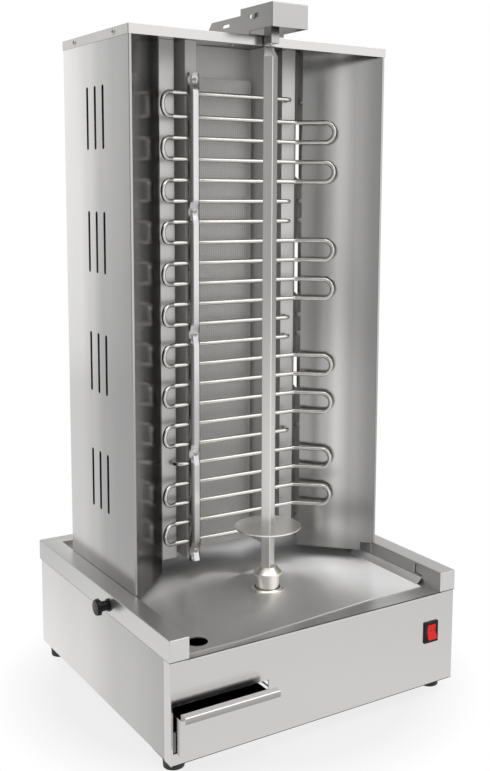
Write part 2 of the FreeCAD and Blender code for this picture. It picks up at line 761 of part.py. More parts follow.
def drive_shaft():
    shaft = s.shaft_diameter / 2
    low = case_top - s.bracket_drop - s.shaft_grip
    node(Piece("drive_shaft").turn([
        (as_size(0), as_size(0)), (shaft, as_size(0)), (shaft, socket_floor - low),
        (as_size(0), socket_floor - low),
    ]), 0, spit_y, low)


socket_top = pan_top + s.socket_height
socket_floor = socket_top - s.socket_grip


def spit_socket():
    """The turned socket: round below on the shaft, square above for the rod."""
    low = pan_top + s.slide_gap
    body, collar = s.socket_diameter / 2, s.socket_collar / 2
    step = socket_top - low - s.socket_chamfer
    bore = s.shaft_diameter / 2
    socket = Piece("spit_socket").turn([
        (bore, as_size(0)), (body, as_size(0)), (body, step - s.socket_step),
        (collar, step - s.socket_step), (collar, step), (s.socket_mouth / 2, socket_top - low),
        (bore, socket_top - low),
    ])
    half = s.spit_square / 2
    socket.cut("top", socket_floor - low, socket_top - low, box(-half, half, -half, half))
    node(socket, 0, spit_y, low, Rotation(Vector(0, 0, 1), s.spit_turn.value))


def spit_rod():
    """The square rod with a pyramid and a pin on top."""
    half, pin = s.spit_square / 2, s.spit_pin / 2
    top = roof_top - s.spit_drop - socket_floor
    tip = top + s.spit_point
    rod = Piece("spit_rod").pad("top", 0, top, box(-half, half, -half, half))
    rod.loft("top", top, tip, box(-half, half, -half, half), box(-pin, pin, -pin, pin))
    rod.pad("top", tip - s.sheet, tip + s.spit_pin_length, Circle(0, 0, pin))
    node(rod, 0, spit_y, socket_floor, Rotation(Vector(0, 0, 1), s.spit_turn.value))


def meat_disc():
    """A thin disc pressed onto the rod."""
    half = s.spit_square / 2
    disc = Piece("meat_disc").pad(
        "top", 0, s.disc_thickness, Circle(0, 0, s.disc_diameter / 2), box(-half, half, -half, half))
    node(disc, 0, spit_y, socket_top + s.disc_rise, Rotation(Vector(0, 0, 1), s.spit_turn.value))


def drawer():
    """A front plate with a folded lip, a tray behind it and the rivets that join them."""
    left = opening_left + s.drawer_gap
    right = opening_right - s.drawer_gap
    low = opening_bottom + s.drawer_gap
    high = opening_top - s.drawer_gap
    face = drawer_face
    lip = face - s.handle_reach
    plate = Piece("drawer_front").pad("side", left, right, [
        (face, low), (face + s.sheet, low), (face + s.sheet, high), (lip, high),
        (lip, high - s.handle_drop), (lip + s.sheet, high - s.handle_drop),
        (lip + s.sheet, high - s.sheet), (face, high - s.sheet),
    ])
    node(plate)
    x0, x1 = left + s.drawer_tray_inset, right - s.drawer_tray_inset
    y0 = face + s.sheet
    y1 = y0 + s.drawer_tray_depth
    tray = Piece("drawer_tray").pad("top", low, low + s.drawer_tray_height, box(x0, x1, y0, y1))
    tray.cut("top", low + s.sheet, low + s.drawer_tray_height,
             box(x0 + s.sheet, x1 - s.sheet, y0 + s.sheet, y1 - s.sheet))
    node(tray)
    rivets = []
    inset = s.rivet_diameter * 3
    for number, x in enumerate((x0 + inset, x1 - inset)):
        head = s.rivet_diameter * 0.3
        rivet = Piece(f"rivet_{number}").turn([
            (as_size(0), as_size(0)), (s.rivet_diameter / 2, as_size(0)), (s.rivet_diameter / 2, head),
            (as_size(0), head),
        ])
        rivets.append(rivet.at(x, y0 + s.sheet, low + s.drawer_tray_height * 0.75, ALONG_Y))
    node(group("drawer_rivets", rivets))


def drawer_rails():
    """Two angles on the floor plate that carry and guide the drawer tray."""
    tray_left = opening_left + s.drawer_gap + s.drawer_tray_inset
    tray_right = opening_right - s.drawer_gap - s.drawer_tray_inset
    floor = s.foot_height + s.sheet * 2
    under = opening_bottom + s.drawer_gap - s.slide_gap
    front = s.sheet * 2 - panel_y
    rails = []
    for name, edge, inward in (("left", tray_left, 1), ("right", tray_right, -1)):
        wall = edge - s.slide_gap * inward
        back = wall - s.sheet * inward
        inner = wall + s.rail_ledge * inward
        rail = Piece(f"drawer_rail_{name}").pad("front", front, front + s.rail_length, [
            (back, floor), (inner, floor), (inner, floor + s.sheet), (wall, floor + s.sheet),
            (wall, under - s.sheet), (inner, under - s.sheet), (inner, under), (wall, under),
            (wall, floor + s.rail_height), (back, floor + s.rail_height),
        ])
        rails.append(rail)
    node(group("drawer_rails", rails))


rocker_x = panel_x - s.rocker_right


def rocker_switch():
    """The black switch body with its bezel and pocket, and the red rocker in it."""
    face = -panel_y
    front = face - s.bezel_rise
    body = box(rocker_x - s.switch_width / 2, rocker_x + s.switch_width / 2,
               s.rocker_level - s.switch_height / 2, s.rocker_level + s.switch_height / 2)
    bezel = box(rocker_x - s.bezel_width / 2, rocker_x + s.bezel_width / 2,
                s.rocker_level - s.bezel_height / 2, s.rocker_level + s.bezel_height / 2)
    gap = s.slide_gap * 2
    pocket = box(rocker_x - s.rocker_width / 2 - gap, rocker_x + s.rocker_width / 2 + gap,
                 s.rocker_level - s.rocker_height / 2 - gap, s.rocker_level + s.rocker_height / 2 + gap)
    switch = Piece("switch_body").pad("front", face, face + s.switch_depth, body)
    switch.pad("front", front, face, bezel)
    switch.cut("front", front, face + s.rocker_height / 2, pocket)
    node(switch)
    half = s.rocker_height / 2
    reach = s.rocker_rise + s.bezel_rise
    tilt = s.rocker_rise
    rocker = Piece("rocker_button").pad("side", -s.rocker_width / 2, s.rocker_width / 2, [
        (-reach, -half), (-reach + tilt, as_size(0)), (-reach, half), (half * 0.3, half * 0.9),
        (half * 0.5, as_size(0)), (half * 0.3, -half * 0.9),
    ])
    node(rocker, rocker_x, face, s.rocker_level, Rotation(Vector(1, 0, 0), -s.rocker_tilt.value))
    blades = []
    back = face + s.switch_depth
    for number, height in enumerate((-1, 0, 1)):
        z = s.rocker_level + s.switch_height * 0.3 * height
        wide = s.screw_diameter * 0.8
        blade = Piece(f"blade_{number}").pad(
            "front", back, back + s.screw_diameter * 2,
            box(rocker_x - wide, rocker_x + wide, z - s.sheet * 0.4, z + s.sheet * 0.4))
        blades.append(blade)
    node(group("switch_terminals", blades))


knob_y = s.knob_front - cover_y
knob_z = rim_top - s.knob_drop


def clamp_knob():
    """The knob on the left rim, its screw, the washer and the nut inside the rim."""
    reach = s.knob_reach
    head = s.knob_diameter / 2
    neck = s.knob_neck / 2
    shank = s.knob_screw / 2
    seat = s.washer_thickness + s.slide_gap
    knob = Piece("clamp_knob").turn([
        (shank, seat), (neck, seat), (neck, reach - s.knob_length), (head, reach - s.knob_length + s.sheet),
        (head, reach - s.sheet), (head - s.sheet, reach), (as_size(0), reach), (as_size(0), reach - s.sheet * 3),
        (shank, reach - s.sheet * 3),
    ])
    node(knob, -cover_x, knob_y, knob_z, ALONG_MINUS_X)
    inner = s.slide_gap - s.rim_width
    node(Piece("clamp_screw").turn([
        (as_size(0), inner), (shank, inner), (shank, reach - s.sheet * 3), (as_size(0), reach - s.sheet * 3),
    ]), -cover_x, knob_y, knob_z, ALONG_MINUS_X)
    bore = shank + s.shaft_gap
    node(Piece("clamp_washer").turn([
        (bore, as_size(0)), (s.washer_diameter / 2, as_size(0)),
        (s.washer_diameter / 2, s.washer_thickness), (bore, s.washer_thickness),
    ]), -cover_x, knob_y, knob_z, ALONG_MINUS_X)
    start = s.sheet - cover_x
    node(Piece("clamp_nut").pad(
        "side", start, start + s.knob_screw, hexagon(knob_y, knob_z, s.knob_screw * 1.7),
        Circle(knob_y, knob_z, bore)))


def gland_place():
    return rocker_x, s.rocker_level - s.bezel_height


def cable_gland():
    """Where the mains cable goes in, on the back of the case, and the terminals inside."""
    x, z = gland_place()
    radius = s.gland_diameter / 2
    bore = radius * 0.5
    wide = radius * 1.3
    proud = cover_y - wall_y
    node(Piece("cable_gland").turn([
        (bore, -s.gland_reach), (radius, -s.gland_reach), (radius, as_size(0)), (wide, as_size(0)),
        (wide, proud * 0.6), (radius, proud), (bore, proud),
    ]), x, wall_y, z, ALONG_Y)
    floor = s.foot_height + s.sheet * 2
    half = s.switch_height / 2
    y = wall_y - s.gland_reach * 8
    node(Piece("terminal_block").pad("top", floor, floor + half, box(x - half * 2, x + half * 2, y - half, y))
         .cut("front", y - half, y, *[Circle(x + half * k, floor + half / 2, half * 0.25) for k in (-1, 0, 1)]))


def side_panel(name, hand):
    """One side of the tower, standing on the rim, folded in at the front and the back."""
    low = rim_top + s.slide_gap
    outer, inner = tower_x * hand, side_x * hand
    front_fold = (tower_x - s.front_flange) * hand
    back_fold = (tower_x - s.back_flange) * hand
    first, second = sorted((outer, inner), key=lambda size: size.value)
    panel = Piece(name).pad("side", first, second, box(tower_y, tower_back, low, s.tower_top))
    panel.pad("top", low, s.tower_top, box(inner, front_fold, tower_y, tower_y + s.sheet),
              box(inner, back_fold, tower_back - s.sheet, tower_back))
    if hand < 0:
        step = (s.tower_top - s.vent_drop - s.vent_height - s.vent_first) / 3
        for row in range(4):
            slots = [
                Slot(tower_y + s.vent_front + s.vent_pitch * column, s.vent_first + step * row,
                     s.vent_height, s.vent_width)
                for column in range(3)
            ]
            panel.cut("side", first, second, *slots)
    panel.cut("side", first, second, *roof_screw_holes())
    node(panel)


def back_cover():
    """Sheet across the tower's back, cut away on the right above its lower band."""
    low = rim_top + s.slide_gap
    band = low + s.cover_band
    node(Piece("back_cover").pad("front", tower_back - s.sheet * 2, tower_back - s.sheet, [
        (-side_x, low), (side_x, low), (side_x, band), (plate_x, band), (plate_x, heater_top),
        (-side_x, heater_top),
    ]))


def tower_runners():
    """Strips inside the side panels that reach down between the rims and guide the tower."""
    outer = rim_x - s.slide_gap
    inner = outer - s.runner_sheet
    front = tower_y + s.front_flange * 2
    low = pan_top + s.flank_rise + s.sheet
    outline = box(front, front + s.runner_length, low, rim_top + s.runner_rise)
    node(group("tower_runners", [
        Piece("runner_left").pad("side", -outer, -inner, outline),
        Piece("runner_right").pad("side", inner, outer, outline),
    ]))


def reflector(name, hand):
    """A wing that slants back from the tower's front corner, then a slotted facet."""
    front_x = side_x - s.runner_sheet - s.slide_gap * 2
    front_y = tower_y + s.sheet
    along_x, along_y = front_x - s.wing_back, wing_y - front_y
    length = root(along_x * along_x + along_y * along_y)
    off_x, off_y = s.sheet * along_y / length, s.sheet * along_x / length
    turn_x = s.wing_back + s.sheet
    plan = [
        (front_x, front_y), (front_x, front_y + off_y * 2), (turn_x + off_x * 0.3, wing_y + off_y * 0.6),
        (plate_x + s.sheet, plate_y + s.sheet), (plate_x, plate_y + s.sheet), (plate_x, plate_y),
        (s.wing_back, wing_y),
    ]
    low = s.wing_bottom
    wing = Piece(name).pad("top", low, s.tower_top, plan if hand > 0 else mirrored(plan))
    if hand > 0:
        notch_y = front_y + s.wing_notch * 2
        wing.cut("top", low, rim_top, box(front_x - s.wing_notch, front_x + s.sheet, front_y - s.sheet, notch_y))
    foot = box(plate_x - s.sheet, turn_x + s.sheet * 3, wing_y + s.sheet * 3, plate_y + s.sheet * 2)
    wing.cut("top", low, s.heater_bottom, foot if hand > 0 else mirrored(foot))
    middle = (plate_y + wing_y) / 2 + s.sheet
    half = s.facet_slot / 2
    first, second = sorted((plate_x * hand, (s.wing_back + s.sheet * 2) * hand), key=lambda size: size.value)
    for level, height in facet_slots():
        point = half
        wing.cut("side", first - s.sheet, second, [
            (middle - half, level + point), (middle, level), (middle + half, level + point),
            (middle + half, level + height - point), (middle, level + height),
            (middle - half, level + height - point),
        ])
    node(wing)


def facet_slots():
    """Bottom and height of each see-through slot."""
    zone = tube_pitch * 6
    height = tube_pitch * 3
    top = tube_top - tube_pitch * 4
    return [(top, height), (top - zone, height), (top - zone * 2 + tube_pitch, height * 0.6)]


def heater_plate(name, hand):
    """The upright plate that the tube ends pass through, with the recess side behind it."""
    outer, inner = plate_x - s.slide_gap, recess_x
    plate = box(inner, outer, s.heater_bottom, heater_top)
    holes = [
        Circle(s.tube_end, level, s.tube_diameter / 2 + s.slide_gap)
        for zone in zones() for level, end_hand in zone["ends"] if end_hand == hand
    ]
    if hand < 0:
        plate = mirrored(plate)
        holes = [Circle(-ring.x, ring.y, ring.radius) for ring in holes]
    panel = Piece(name).pad("front", plate_y, plate_y + s.sheet, plate, *holes)
    first, second = sorted((inner * hand, (inner + s.sheet) * hand), key=lambda size: size.value)
    panel.pad("side", first, second, box(plate_y, recess_y, s.heater_bottom, heater_top))
    node(panel)


def heater_back():
    """Back of the recess, the fibre board on it, the rests behind the tubes and the terminal box."""
    y = recess_y
    holes = [
        Circle(s.tube_end * hand, level, s.tube_diameter / 2 + s.slide_gap)
        for zone in zones() for level, hand in zone["ends"]
    ]
    wall = box(-plate_x, plate_x, s.heater_bottom, heater_top)
    node(Piece("recess_back").pad("front", y, y + s.sheet, wall, *holes))
    half = s.board_width / 2
    node(Piece("fibre_board").pad("front", y - s.board_thickness, y, box(-half, half, s.board_bottom, board_top)))
    rests = []
    tube_back = tube_y + s.tube_diameter / 2 + s.slide_gap
    wide = s.strip_width / 2
    for name, centre in (("left", -s.strip_left), ("right", s.strip_right)):
        x0, x1 = centre - wide, centre + wide
        rest = Piece(f"tube_rest_{name}").pad("top", s.strip_bottom + s.sheet, heater_top, [
            (x0, y), (x0, tube_back), (x1, tube_back), (x1, y), (x1 - s.sheet, y),
            (x1 - s.sheet, tube_back + s.sheet), (x0 + s.sheet, tube_back + s.sheet), (x0 + s.sheet, y),
        ])
        rests.append(rest)
    node(group("tube_rests", rests))
    shell = s.sheet
    back = y + shell + s.box_depth
    case = Piece("terminal_box").pad("top", s.board_bottom, board_top, box(-plate_x, plate_x, y + shell, back))
    case.cut("top", s.board_bottom + shell, board_top - shell,
             box(shell - plate_x, plate_x - shell, y + shell, back - shell))
    node(case)


def strip_levels():
    """Heights of the five screws in each clamp strip: between the zones, above and below them."""
    found = zones()
    between = [(upper["passes"][-1] + lower["passes"][0]) / 2 for upper, lower in zip(found, found[1:])]
    top = tube_top + tube_pitch * 0.6
    bottom = found[-1]["passes"][-1] - tube_pitch / 2
    return [top] + between + [bottom]


strip_front = tube_y - s.tube_diameter / 2 - s.slide_gap - s.strip_depth


def clamp_strips():
    """Shallow channels in front of the tubes, screwed back to the rests."""
    strips, screws = [], []
    head, shank = s.strip_screw_head, s.screw_diameter
    for name, centre in (("left", -s.strip_left), ("right", s.strip_right)):
        x0, x1 = centre - s.strip_width / 2, centre + s.strip_width / 2
        front, back = strip_front, strip_front + s.strip_depth
        strip = Piece(f"clamp_strip_{name}").pad("top", s.strip_bottom, strip_top, [
            (x0, back), (x0, front), (x1, front), (x1, back), (x1 - s.sheet, back),
            (x1 - s.sheet, front + s.sheet), (x0 + s.sheet, front + s.sheet), (x0 + s.sheet, back),
        ])
        holes = [Circle(centre, level, shank / 2 + s.shaft_gap) for level in strip_levels()]
        strips.append(strip.cut("front", front, front + s.sheet, *holes))
        length = tube_y + s.tube_diameter / 2 + s.slide_gap - front
        for number, level in enumerate(strip_levels()):
            one = screw(f"strip_screw_{name}_{number}", head, shank, length, shank * 0.6)
            screws.append(one.at(centre, front, level, ALONG_MINUS_Y))
    node(group("clamp_strips", strips))
    node(group("strip_screws", screws))


def zones():
    """The four heating tubes: the heights of their passes, and where their ends go back."""
    levels = [tube_top]
    for number in range(sum(zone_passes()) - 1):
        levels.append(tube_top - s.tube_first_gap - tube_pitch * number)
    found = []
    for count in zone_passes():
        first = sum(len(zone["passes"]) for zone in found)
        passes = levels[first:first + count]
        even = len(passes) % 2 == 0
        ends = [(passes[0], 1 if even else -1), (passes[-1], 1)]
        found.append({"passes": passes, "ends": ends})
    return found


def bent_path(points, radius):
    """Straight runs through `points`, joined by tangent arcs of one radius."""
    edges = []
    here = points[0]
    for before, corner, after in zip(points, points[1:], points[2:]):
        inward = (before - corner).normalize()
        outward = (after - corner).normalize()
        half_turn = inward.getAngle(outward) / 2
        back = radius / math.tan(half_turn)
        start, end = corner + inward * back, corner + outward * back
        middle = corner + (inward + outward).normalize() * (radius / math.sin(half_turn) - radius)
        if (start - here).Length > 1e-6:
            edges.append(Part.LineSegment(here, start).toShape())
        edges.append(Part.Arc(start, middle, end).toShape())
        here = end
    edges.append(Part.LineSegment(here, points[-1]).toShape())
    return edges


def tube_route(passes, starts_right):
    """One zone's route: back through the plate, to and fro in passes, and back again."""
    y = tube_y.value
    tail = plate_y.value + s.tube_tail.value
    end_x = s.tube_end.value
    right = s.tube_bend_right.value
    left = -s.tube_bend_left.value
    tip_right = Vector(s.tube_tip_right.value, -s.tube_tip_forward.value, 0)
    tip_left = Vector(-s.tube_tip_left.value, -s.tube_tip_left_forward.value, 0)
    to_right = not starts_right
    start_x = end_x if starts_right else -end_x
    points = [Vector(start_x, tail, passes[0].value), Vector(start_x, y, passes[0].value)]
    route = []
    turn = s.tube_hook.value
    for upper, lower in zip(passes, passes[1:]):
        corner_x, tip = (right, tip_right) if to_right else (left, tip_left)
        radius = (upper.value - lower.value) / 2
        direction = Vector(tip).normalize()
        reach = tip.Length - radius
        high = Vector(corner_x, y, upper.value)
        low = Vector(corner_x, y, lower.value)
        if reach > 1:
            points += [high, high + direction * reach]
            route += bent_path(points, turn)
            rim = high + direction * reach
            foot = low + direction * reach
            route.append(Part.Arc(rim, (rim + foot) / 2 + direction * radius, foot).toShape())
            points = [foot, low]
        to_right = not to_right
    points += [Vector(end_x, y, passes[-1].value), Vector(end_x, tail, passes[-1].value)]
    return route + bent_path(points, turn)


def heater_zones():
    """Four bent tubes, each one piece, and the nuts that hold their ends to the plates."""
    nuts = []
    radius = s.tube_diameter / 2
    for number, zone in enumerate(zones(), 1):
        starts_right = zone["ends"][0][1] > 0
        path = Part.Wire(tube_route(zone["passes"], starts_right))
        start_x = s.tube_end.value if starts_right else -s.tube_end.value
        start = Vector(start_x, plate_y.value + s.tube_tail.value, zone["passes"][0].value)
        section = Part.Wire(Part.makeCircle(radius.value, start, Vector(0, 1, 0)))
        tube = doc.addObject("Part::Feature", f"heater_zone_{number}")
        tube.Label = f"heater_zone_{number}"
        tube.Shape = path.makePipeShell([section], True, True)
        node(tube)
        for level, hand in zone["ends"]:
            x = s.tube_end * hand
            start_y = plate_y + s.sheet
            nut = Piece(f"tube_nut_{number}_{len(nuts)}").pad(
                "front", start_y, start_y + s.nut_height, hexagon(x, level, s.nut_across),
                Circle(x, level, radius + s.shaft_gap))
            nuts.append(nut)
    node(group("tube_nuts", nuts))


def roof():
    """A shallow cap over the tower."""
    x, y0, y1 = tower_x + s.sheet, tower_y - s.sheet, tower_back + s.sheet
    cap = Piece("roof_cap").pad("top", roof_top - s.roof_edge, roof_top, box(-x, x, y0, y1))
    cap.cut("top", roof_top - s.roof_edge, s.tower_top, box(-tower_x, tower_x, tower_y, tower_back))
    cap.cut("side", -x, x, *roof_screw_holes())
    bolt = s.screw_diameter * 0.625 + s.slide_gap
    cap.cut("top", s.tower_top, roof_top, *[Circle(0, y, bolt) for y in arm_bolt_places()])
    node(cap)
    screws = []
    for number, hole in enumerate(roof_screw_holes()):
        for hand, turn in ((-1, ALONG_MINUS_X), (1, ALONG_X)):
            one = screw(f"roof_screw_{number}_{hand + 1}", s.screw_diameter * 2, s.screw_diameter,
                        s.sheet * 4, s.screw_diameter * 0.5)
            screws.append(one.at(x * hand, hole.x, hole.y, turn))
    node(group("roof_screws", screws))


def roof_screw_holes():
    """Clearance holes on the side, shared by the roof's skirt and the side panels."""
    level = roof_top - s.roof_edge / 2
    radius = s.screw_diameter / 2 + s.slide_gap
    return [Circle(tower_y + s.tower_depth * share, level, radius) for share in (0.2, 0.8)]


def arm_bolt_places():
    return [tower_y + s.arm_back * share for share in (0.2, 0.8)]


head_y0 = tower_y - s.head_front
head_y1 = head_y0 + s.head_length
head_z0 = roof_top + s.head_bottom
head_z1 = head_z0 + s.head_height
arm_z1 = roof_top + s.arm_height
arm_y1 = tower_y + s.arm_back
slot_y = tower_y - s.slot_front
slot_z = roof_top + s.slot_level


def top_arm():
    """A channel on the roof that grows into a box, open below, over the spit."""
    half = s.arm_width / 2
    profile = [
        (head_y0, head_z0), (tower_y - s.sheet, head_z0), (tower_y - s.sheet, roof_top),
        (arm_y1, roof_top), (arm_y1, roof_top + s.arm_height / 2), (arm_y1 - s.arm_height / 2, arm_z1),
        (head_y1, arm_z1), (head_y1, head_z1), (head_y0, head_z1),
    ]
    arm = Piece("top_arm").pad("side", -half, half, profile)
    thick = s.arm_sheet
    inner = half - thick
    arm.cut("side", -inner, inner, [
        (head_y0 + thick, head_z0), (tower_y - s.sheet, head_z0), (tower_y - s.sheet, roof_top + thick),
        (arm_y1, roof_top + thick), (arm_y1, arm_z1), (head_y1, arm_z1), (head_y1, head_z1 - thick),
        (head_y0 + thick, head_z1 - thick),
    ])
    slot = Slot(slot_y, slot_z, s.slot_length, s.slot_height, flat=True)
    arm.cut("side", -half, half, slot)
    arm.cut("side", -half, -inner, Slot(
        tower_y + s.arm_back * 0.45, slot_z - s.slot_height, s.arm_height * 0.7, s.slot_height * 0.8, flat=True))
    hole = s.screw_diameter * 0.625 + s.slide_gap
    arm.cut("top", roof_top, roof_top + thick, *[Circle(0, y, hole) for y in arm_bolt_places()])
    node(arm)
    bolts = []
    for number, place_y in enumerate(arm_bolt_places()):
        one = screw(f"arm_bolt_{number}", s.screw_diameter * 2.5, s.screw_diameter * 1.25,
                    thick + s.sheet * 3, s.screw_diameter * 0.7)
        bolts.append(one.at(0, place_y, roof_top + thick))
    node(group("arm_bolts", bolts))


def bearing_carriage():
    """Inside the head: a plate with the bearing block under it, clamped through the slots."""
    inner = s.arm_width / 2 - s.arm_sheet - s.slide_gap
    block_top = slot_z - s.slot_height
    thick = s.plate_thickness
    screw_y = spit_y - s.plate_thickness / 2
    y0, y1 = spit_y - s.block_depth * 0.6, spit_y + s.block_depth * 0.4
    z0 = roof_top - s.block_drop
    plate = Piece("carriage_plate").pad("front", y0, y1, [
        (-inner, block_top), (inner, block_top), (inner, block_top + thick * 4),
        (inner - thick, block_top + thick * 4), (inner - thick, block_top + thick),
        (thick - inner, block_top + thick), (thick - inner, block_top + thick * 4), (-inner, block_top + thick * 4),
    ])
    hole = Circle(screw_y, slot_z, s.screw_diameter / 2)
    plate.cut("side", -inner, inner, hole)
    wide = s.block_width / 2
    place_x = (wide + inner) / 2
    holes = [Circle(place_x * hand, spit_y, s.screw_diameter / 2 + s.shaft_gap) for hand in (-1, 1)]
    plate.cut("top", block_top, block_top + thick, *holes)
    node(plate)
    bush = s.bush_diameter / 2
    block = Piece("bearing_block").pad("top", z0, block_top, box(-wide, wide, y0, y1))
    block.cut("top", z0, block_top - thick, Circle(0, spit_y, bush))
    node(block)
    pin = s.spit_pin / 2 + s.shaft_gap
    node(Piece("upper_bush").turn([
        (pin, as_size(0)), (bush, as_size(0)), (bush, block_top - thick - z0), (pin, block_top - thick - z0),
    ]), 0, spit_y, z0)
    bolts, clamps = [], []
    for number, hand in enumerate((-1, 1)):
        one = screw(f"carriage_bolt_{number}", s.screw_diameter * 1.75, s.screw_diameter, thick,
                    s.screw_diameter)
        bolts.append(one.at(place_x * hand, spit_y, block_top, UPSIDE_DOWN))
        turn = ALONG_X if hand > 0 else ALONG_MINUS_X
        length = s.arm_sheet + s.slide_gap * 2 + thick
        one = screw(f"clamp_{number}", s.screw_diameter * 2, s.screw_diameter, length,
                    s.screw_diameter * 0.5)
        reach = s.arm_width / 2 + s.slide_gap
        clamps.append(one.at(reach * hand, screw_y, slot_z, turn))
    node(group("carriage_bolts", bolts))
    node(group("carriage_screws", clamps))


def build():
    tray_cover()
    drip_pan()
    drain_spout()
    base_case()
    front_panel()
    base_floor()
    feet()
    motor_bracket()
    gear_motor()
    bearing_and_seal()
    drive_shaft()
    spit_socket()
    spit_rod()
    meat_disc()
    drawer()
    drawer_rails()
    rocker_switch()
    clamp_knob()
    cable_gland()
    side_panel("side_panel_left", -1)
    side_panel("side_panel_right", 1)
    back_cover()
    tower_runners()
    reflector("reflector_left", -1)
    reflector("reflector_right", 1)
    heater_plate("heater_plate_left", -1)
    heater_plate("heater_plate_right", 1)
    heater_back()
    clamp_strips()
    heater_zones()
    roof()
    top_arm()
    bearing_carriage()
    doc.recompute()


def write():
    """Checks every object, then writes each sub-part to a file of its own."""
    for thing in doc.Objects:
        if "Invalid" in thing.State or "Error" in thing.State:
            raise RuntimeError(f"{thing.Name} failed: {thing.State}")
    os.makedirs("parts", exist_ok=True)
    for thing in nodes:
        shape = thing.Shape
        if shape.isNull() or not shape.isValid() or not shape.Solids:
            raise RuntimeError(f"{thing.Label} has no valid solid")
        shape.exportStep(os.path.join("parts", thing.Label + ".step"))
        print(f"{thing.Label}: {len(shape.Solids)} solids, {shape.Volume / 1000:.1f} cm3")


build()
write()
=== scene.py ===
import json
import math

import bmesh
import bpy
from mathutils import Matrix, Vector


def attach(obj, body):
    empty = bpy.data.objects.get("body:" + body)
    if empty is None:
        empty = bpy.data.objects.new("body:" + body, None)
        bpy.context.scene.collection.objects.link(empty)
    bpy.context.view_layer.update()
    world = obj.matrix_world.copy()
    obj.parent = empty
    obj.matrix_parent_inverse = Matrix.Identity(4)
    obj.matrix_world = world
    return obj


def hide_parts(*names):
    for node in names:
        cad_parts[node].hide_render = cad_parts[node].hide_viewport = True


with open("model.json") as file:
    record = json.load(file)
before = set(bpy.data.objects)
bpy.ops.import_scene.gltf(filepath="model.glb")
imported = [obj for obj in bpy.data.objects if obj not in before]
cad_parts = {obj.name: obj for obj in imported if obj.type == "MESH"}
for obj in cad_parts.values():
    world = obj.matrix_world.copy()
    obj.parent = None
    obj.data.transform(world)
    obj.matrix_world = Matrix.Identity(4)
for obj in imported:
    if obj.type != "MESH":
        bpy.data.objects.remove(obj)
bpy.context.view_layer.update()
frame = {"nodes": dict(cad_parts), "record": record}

# The base case: the left, back and right walls of the base, one folded sheet of stainless steel
# with flanges turned in at the top and the bottom. The sheet is brushed lengthwise before it is
# folded, so its folds are small round edges that catch the light.


class Wire:
    """A socket in a material's node tree: arithmetic on it adds Math nodes."""

    def __init__(self, tree, socket):
        self.tree = tree
        self.socket = socket

    def node(self, kind, settings, sockets, output=0):
        """Adds a node, makes its settings, then fills its sockets with values or wires."""
        added = self.tree.nodes.new(kind)
        for name, value in settings.items():
            setattr(added, name, value)
        for name, value in sockets.items():
            wires = value if isinstance(value, list) else [value]
            if isinstance(wires[0], Wire):
                for wire in wires:
                    self.tree.links.new(wire.socket, added.inputs[name])
            else:
                added.inputs[name].default_value = value
        return Wire(self.tree, added.outputs[output])

    def maths(self, operation, first, second):
        return self.node("ShaderNodeMath", {"operation": operation}, {0: first, 1: second})

    def __add__(self, other):
        return self.maths("ADD", self, other)

    def __radd__(self, other):
        return self.maths("ADD", other, self)

    def __sub__(self, other):
        return self.maths("SUBTRACT", self, other)

    def __rsub__(self, other):
        return self.maths("SUBTRACT", other, self)

    def __mul__(self, other):
        return self.maths("MULTIPLY", self, other)

    def __rmul__(self, other):
        return self.maths("MULTIPLY", other, self)

    def __truediv__(self, other):
        return self.maths("DIVIDE", self, other)

    def stretched(self, x, y, z):
        """A position scaled along each axis."""
        return self.node("ShaderNodeVectorMath", {"operation": "MULTIPLY"}, {0: self, 1: (x, y, z)})

    def noise(self, scale, detail=2.0):
        return self.node("ShaderNodeTexNoise", {}, {"Vector": self, "Scale": scale, "Detail": detail})

    def spread(self, low, high, to_low=0.0, to_high=1.0):
        """Maps a value from one range to another and holds it there."""
        return self.node("ShaderNodeMapRange", {}, {0: self, 1: low, 2: high, 3: to_low, 4: to_high})

    def blend(self, first, second):
        """Mixes two colours by this value."""
        return self.node(
            "ShaderNodeMix", {"data_type": "RGBA"}, {0: self, 6: first, 7: second}, output=2)


def finish(name, colour, roughness, metallic=0.0, **shader_values):
    """A new material. Gives the material, its shader's inputs and the object's coordinates."""
    material = bpy.data.materials.new(name)
    material.use_nodes = True
    tree = material.node_tree
    shader = tree.nodes["Principled BSDF"]
    shader.inputs["Base Color"].default_value = (*colour, 1)
    shader.inputs["Roughness"].default_value = roughness
    shader.inputs["Metallic"].default_value = metallic
    for socket, value in shader_values.items():
        shader.inputs[socket.replace("_", " ")].default_value = value
    here = Wire(tree, tree.nodes.new("ShaderNodeTexCoord").outputs["Object"])
    return material, shader, here


def lay(shader, socket, wire):
    """Links a wire to one of the shader's inputs."""
    wire.tree.links.new(wire.socket, shader.inputs[socket])


def raised(shader, height, distance, strength=1.0):
    """Bumps the surface by a height."""
    bump = height.node(
        "ShaderNodeBump", {}, {"Strength": strength, "Distance": distance, "Height": height})
    lay(shader, "Normal", bump)


GRAIN_LENGTH = 0.05
GRAIN_PITCH = 0.00022
WAVES = (12.0, 12.0, 3.0)


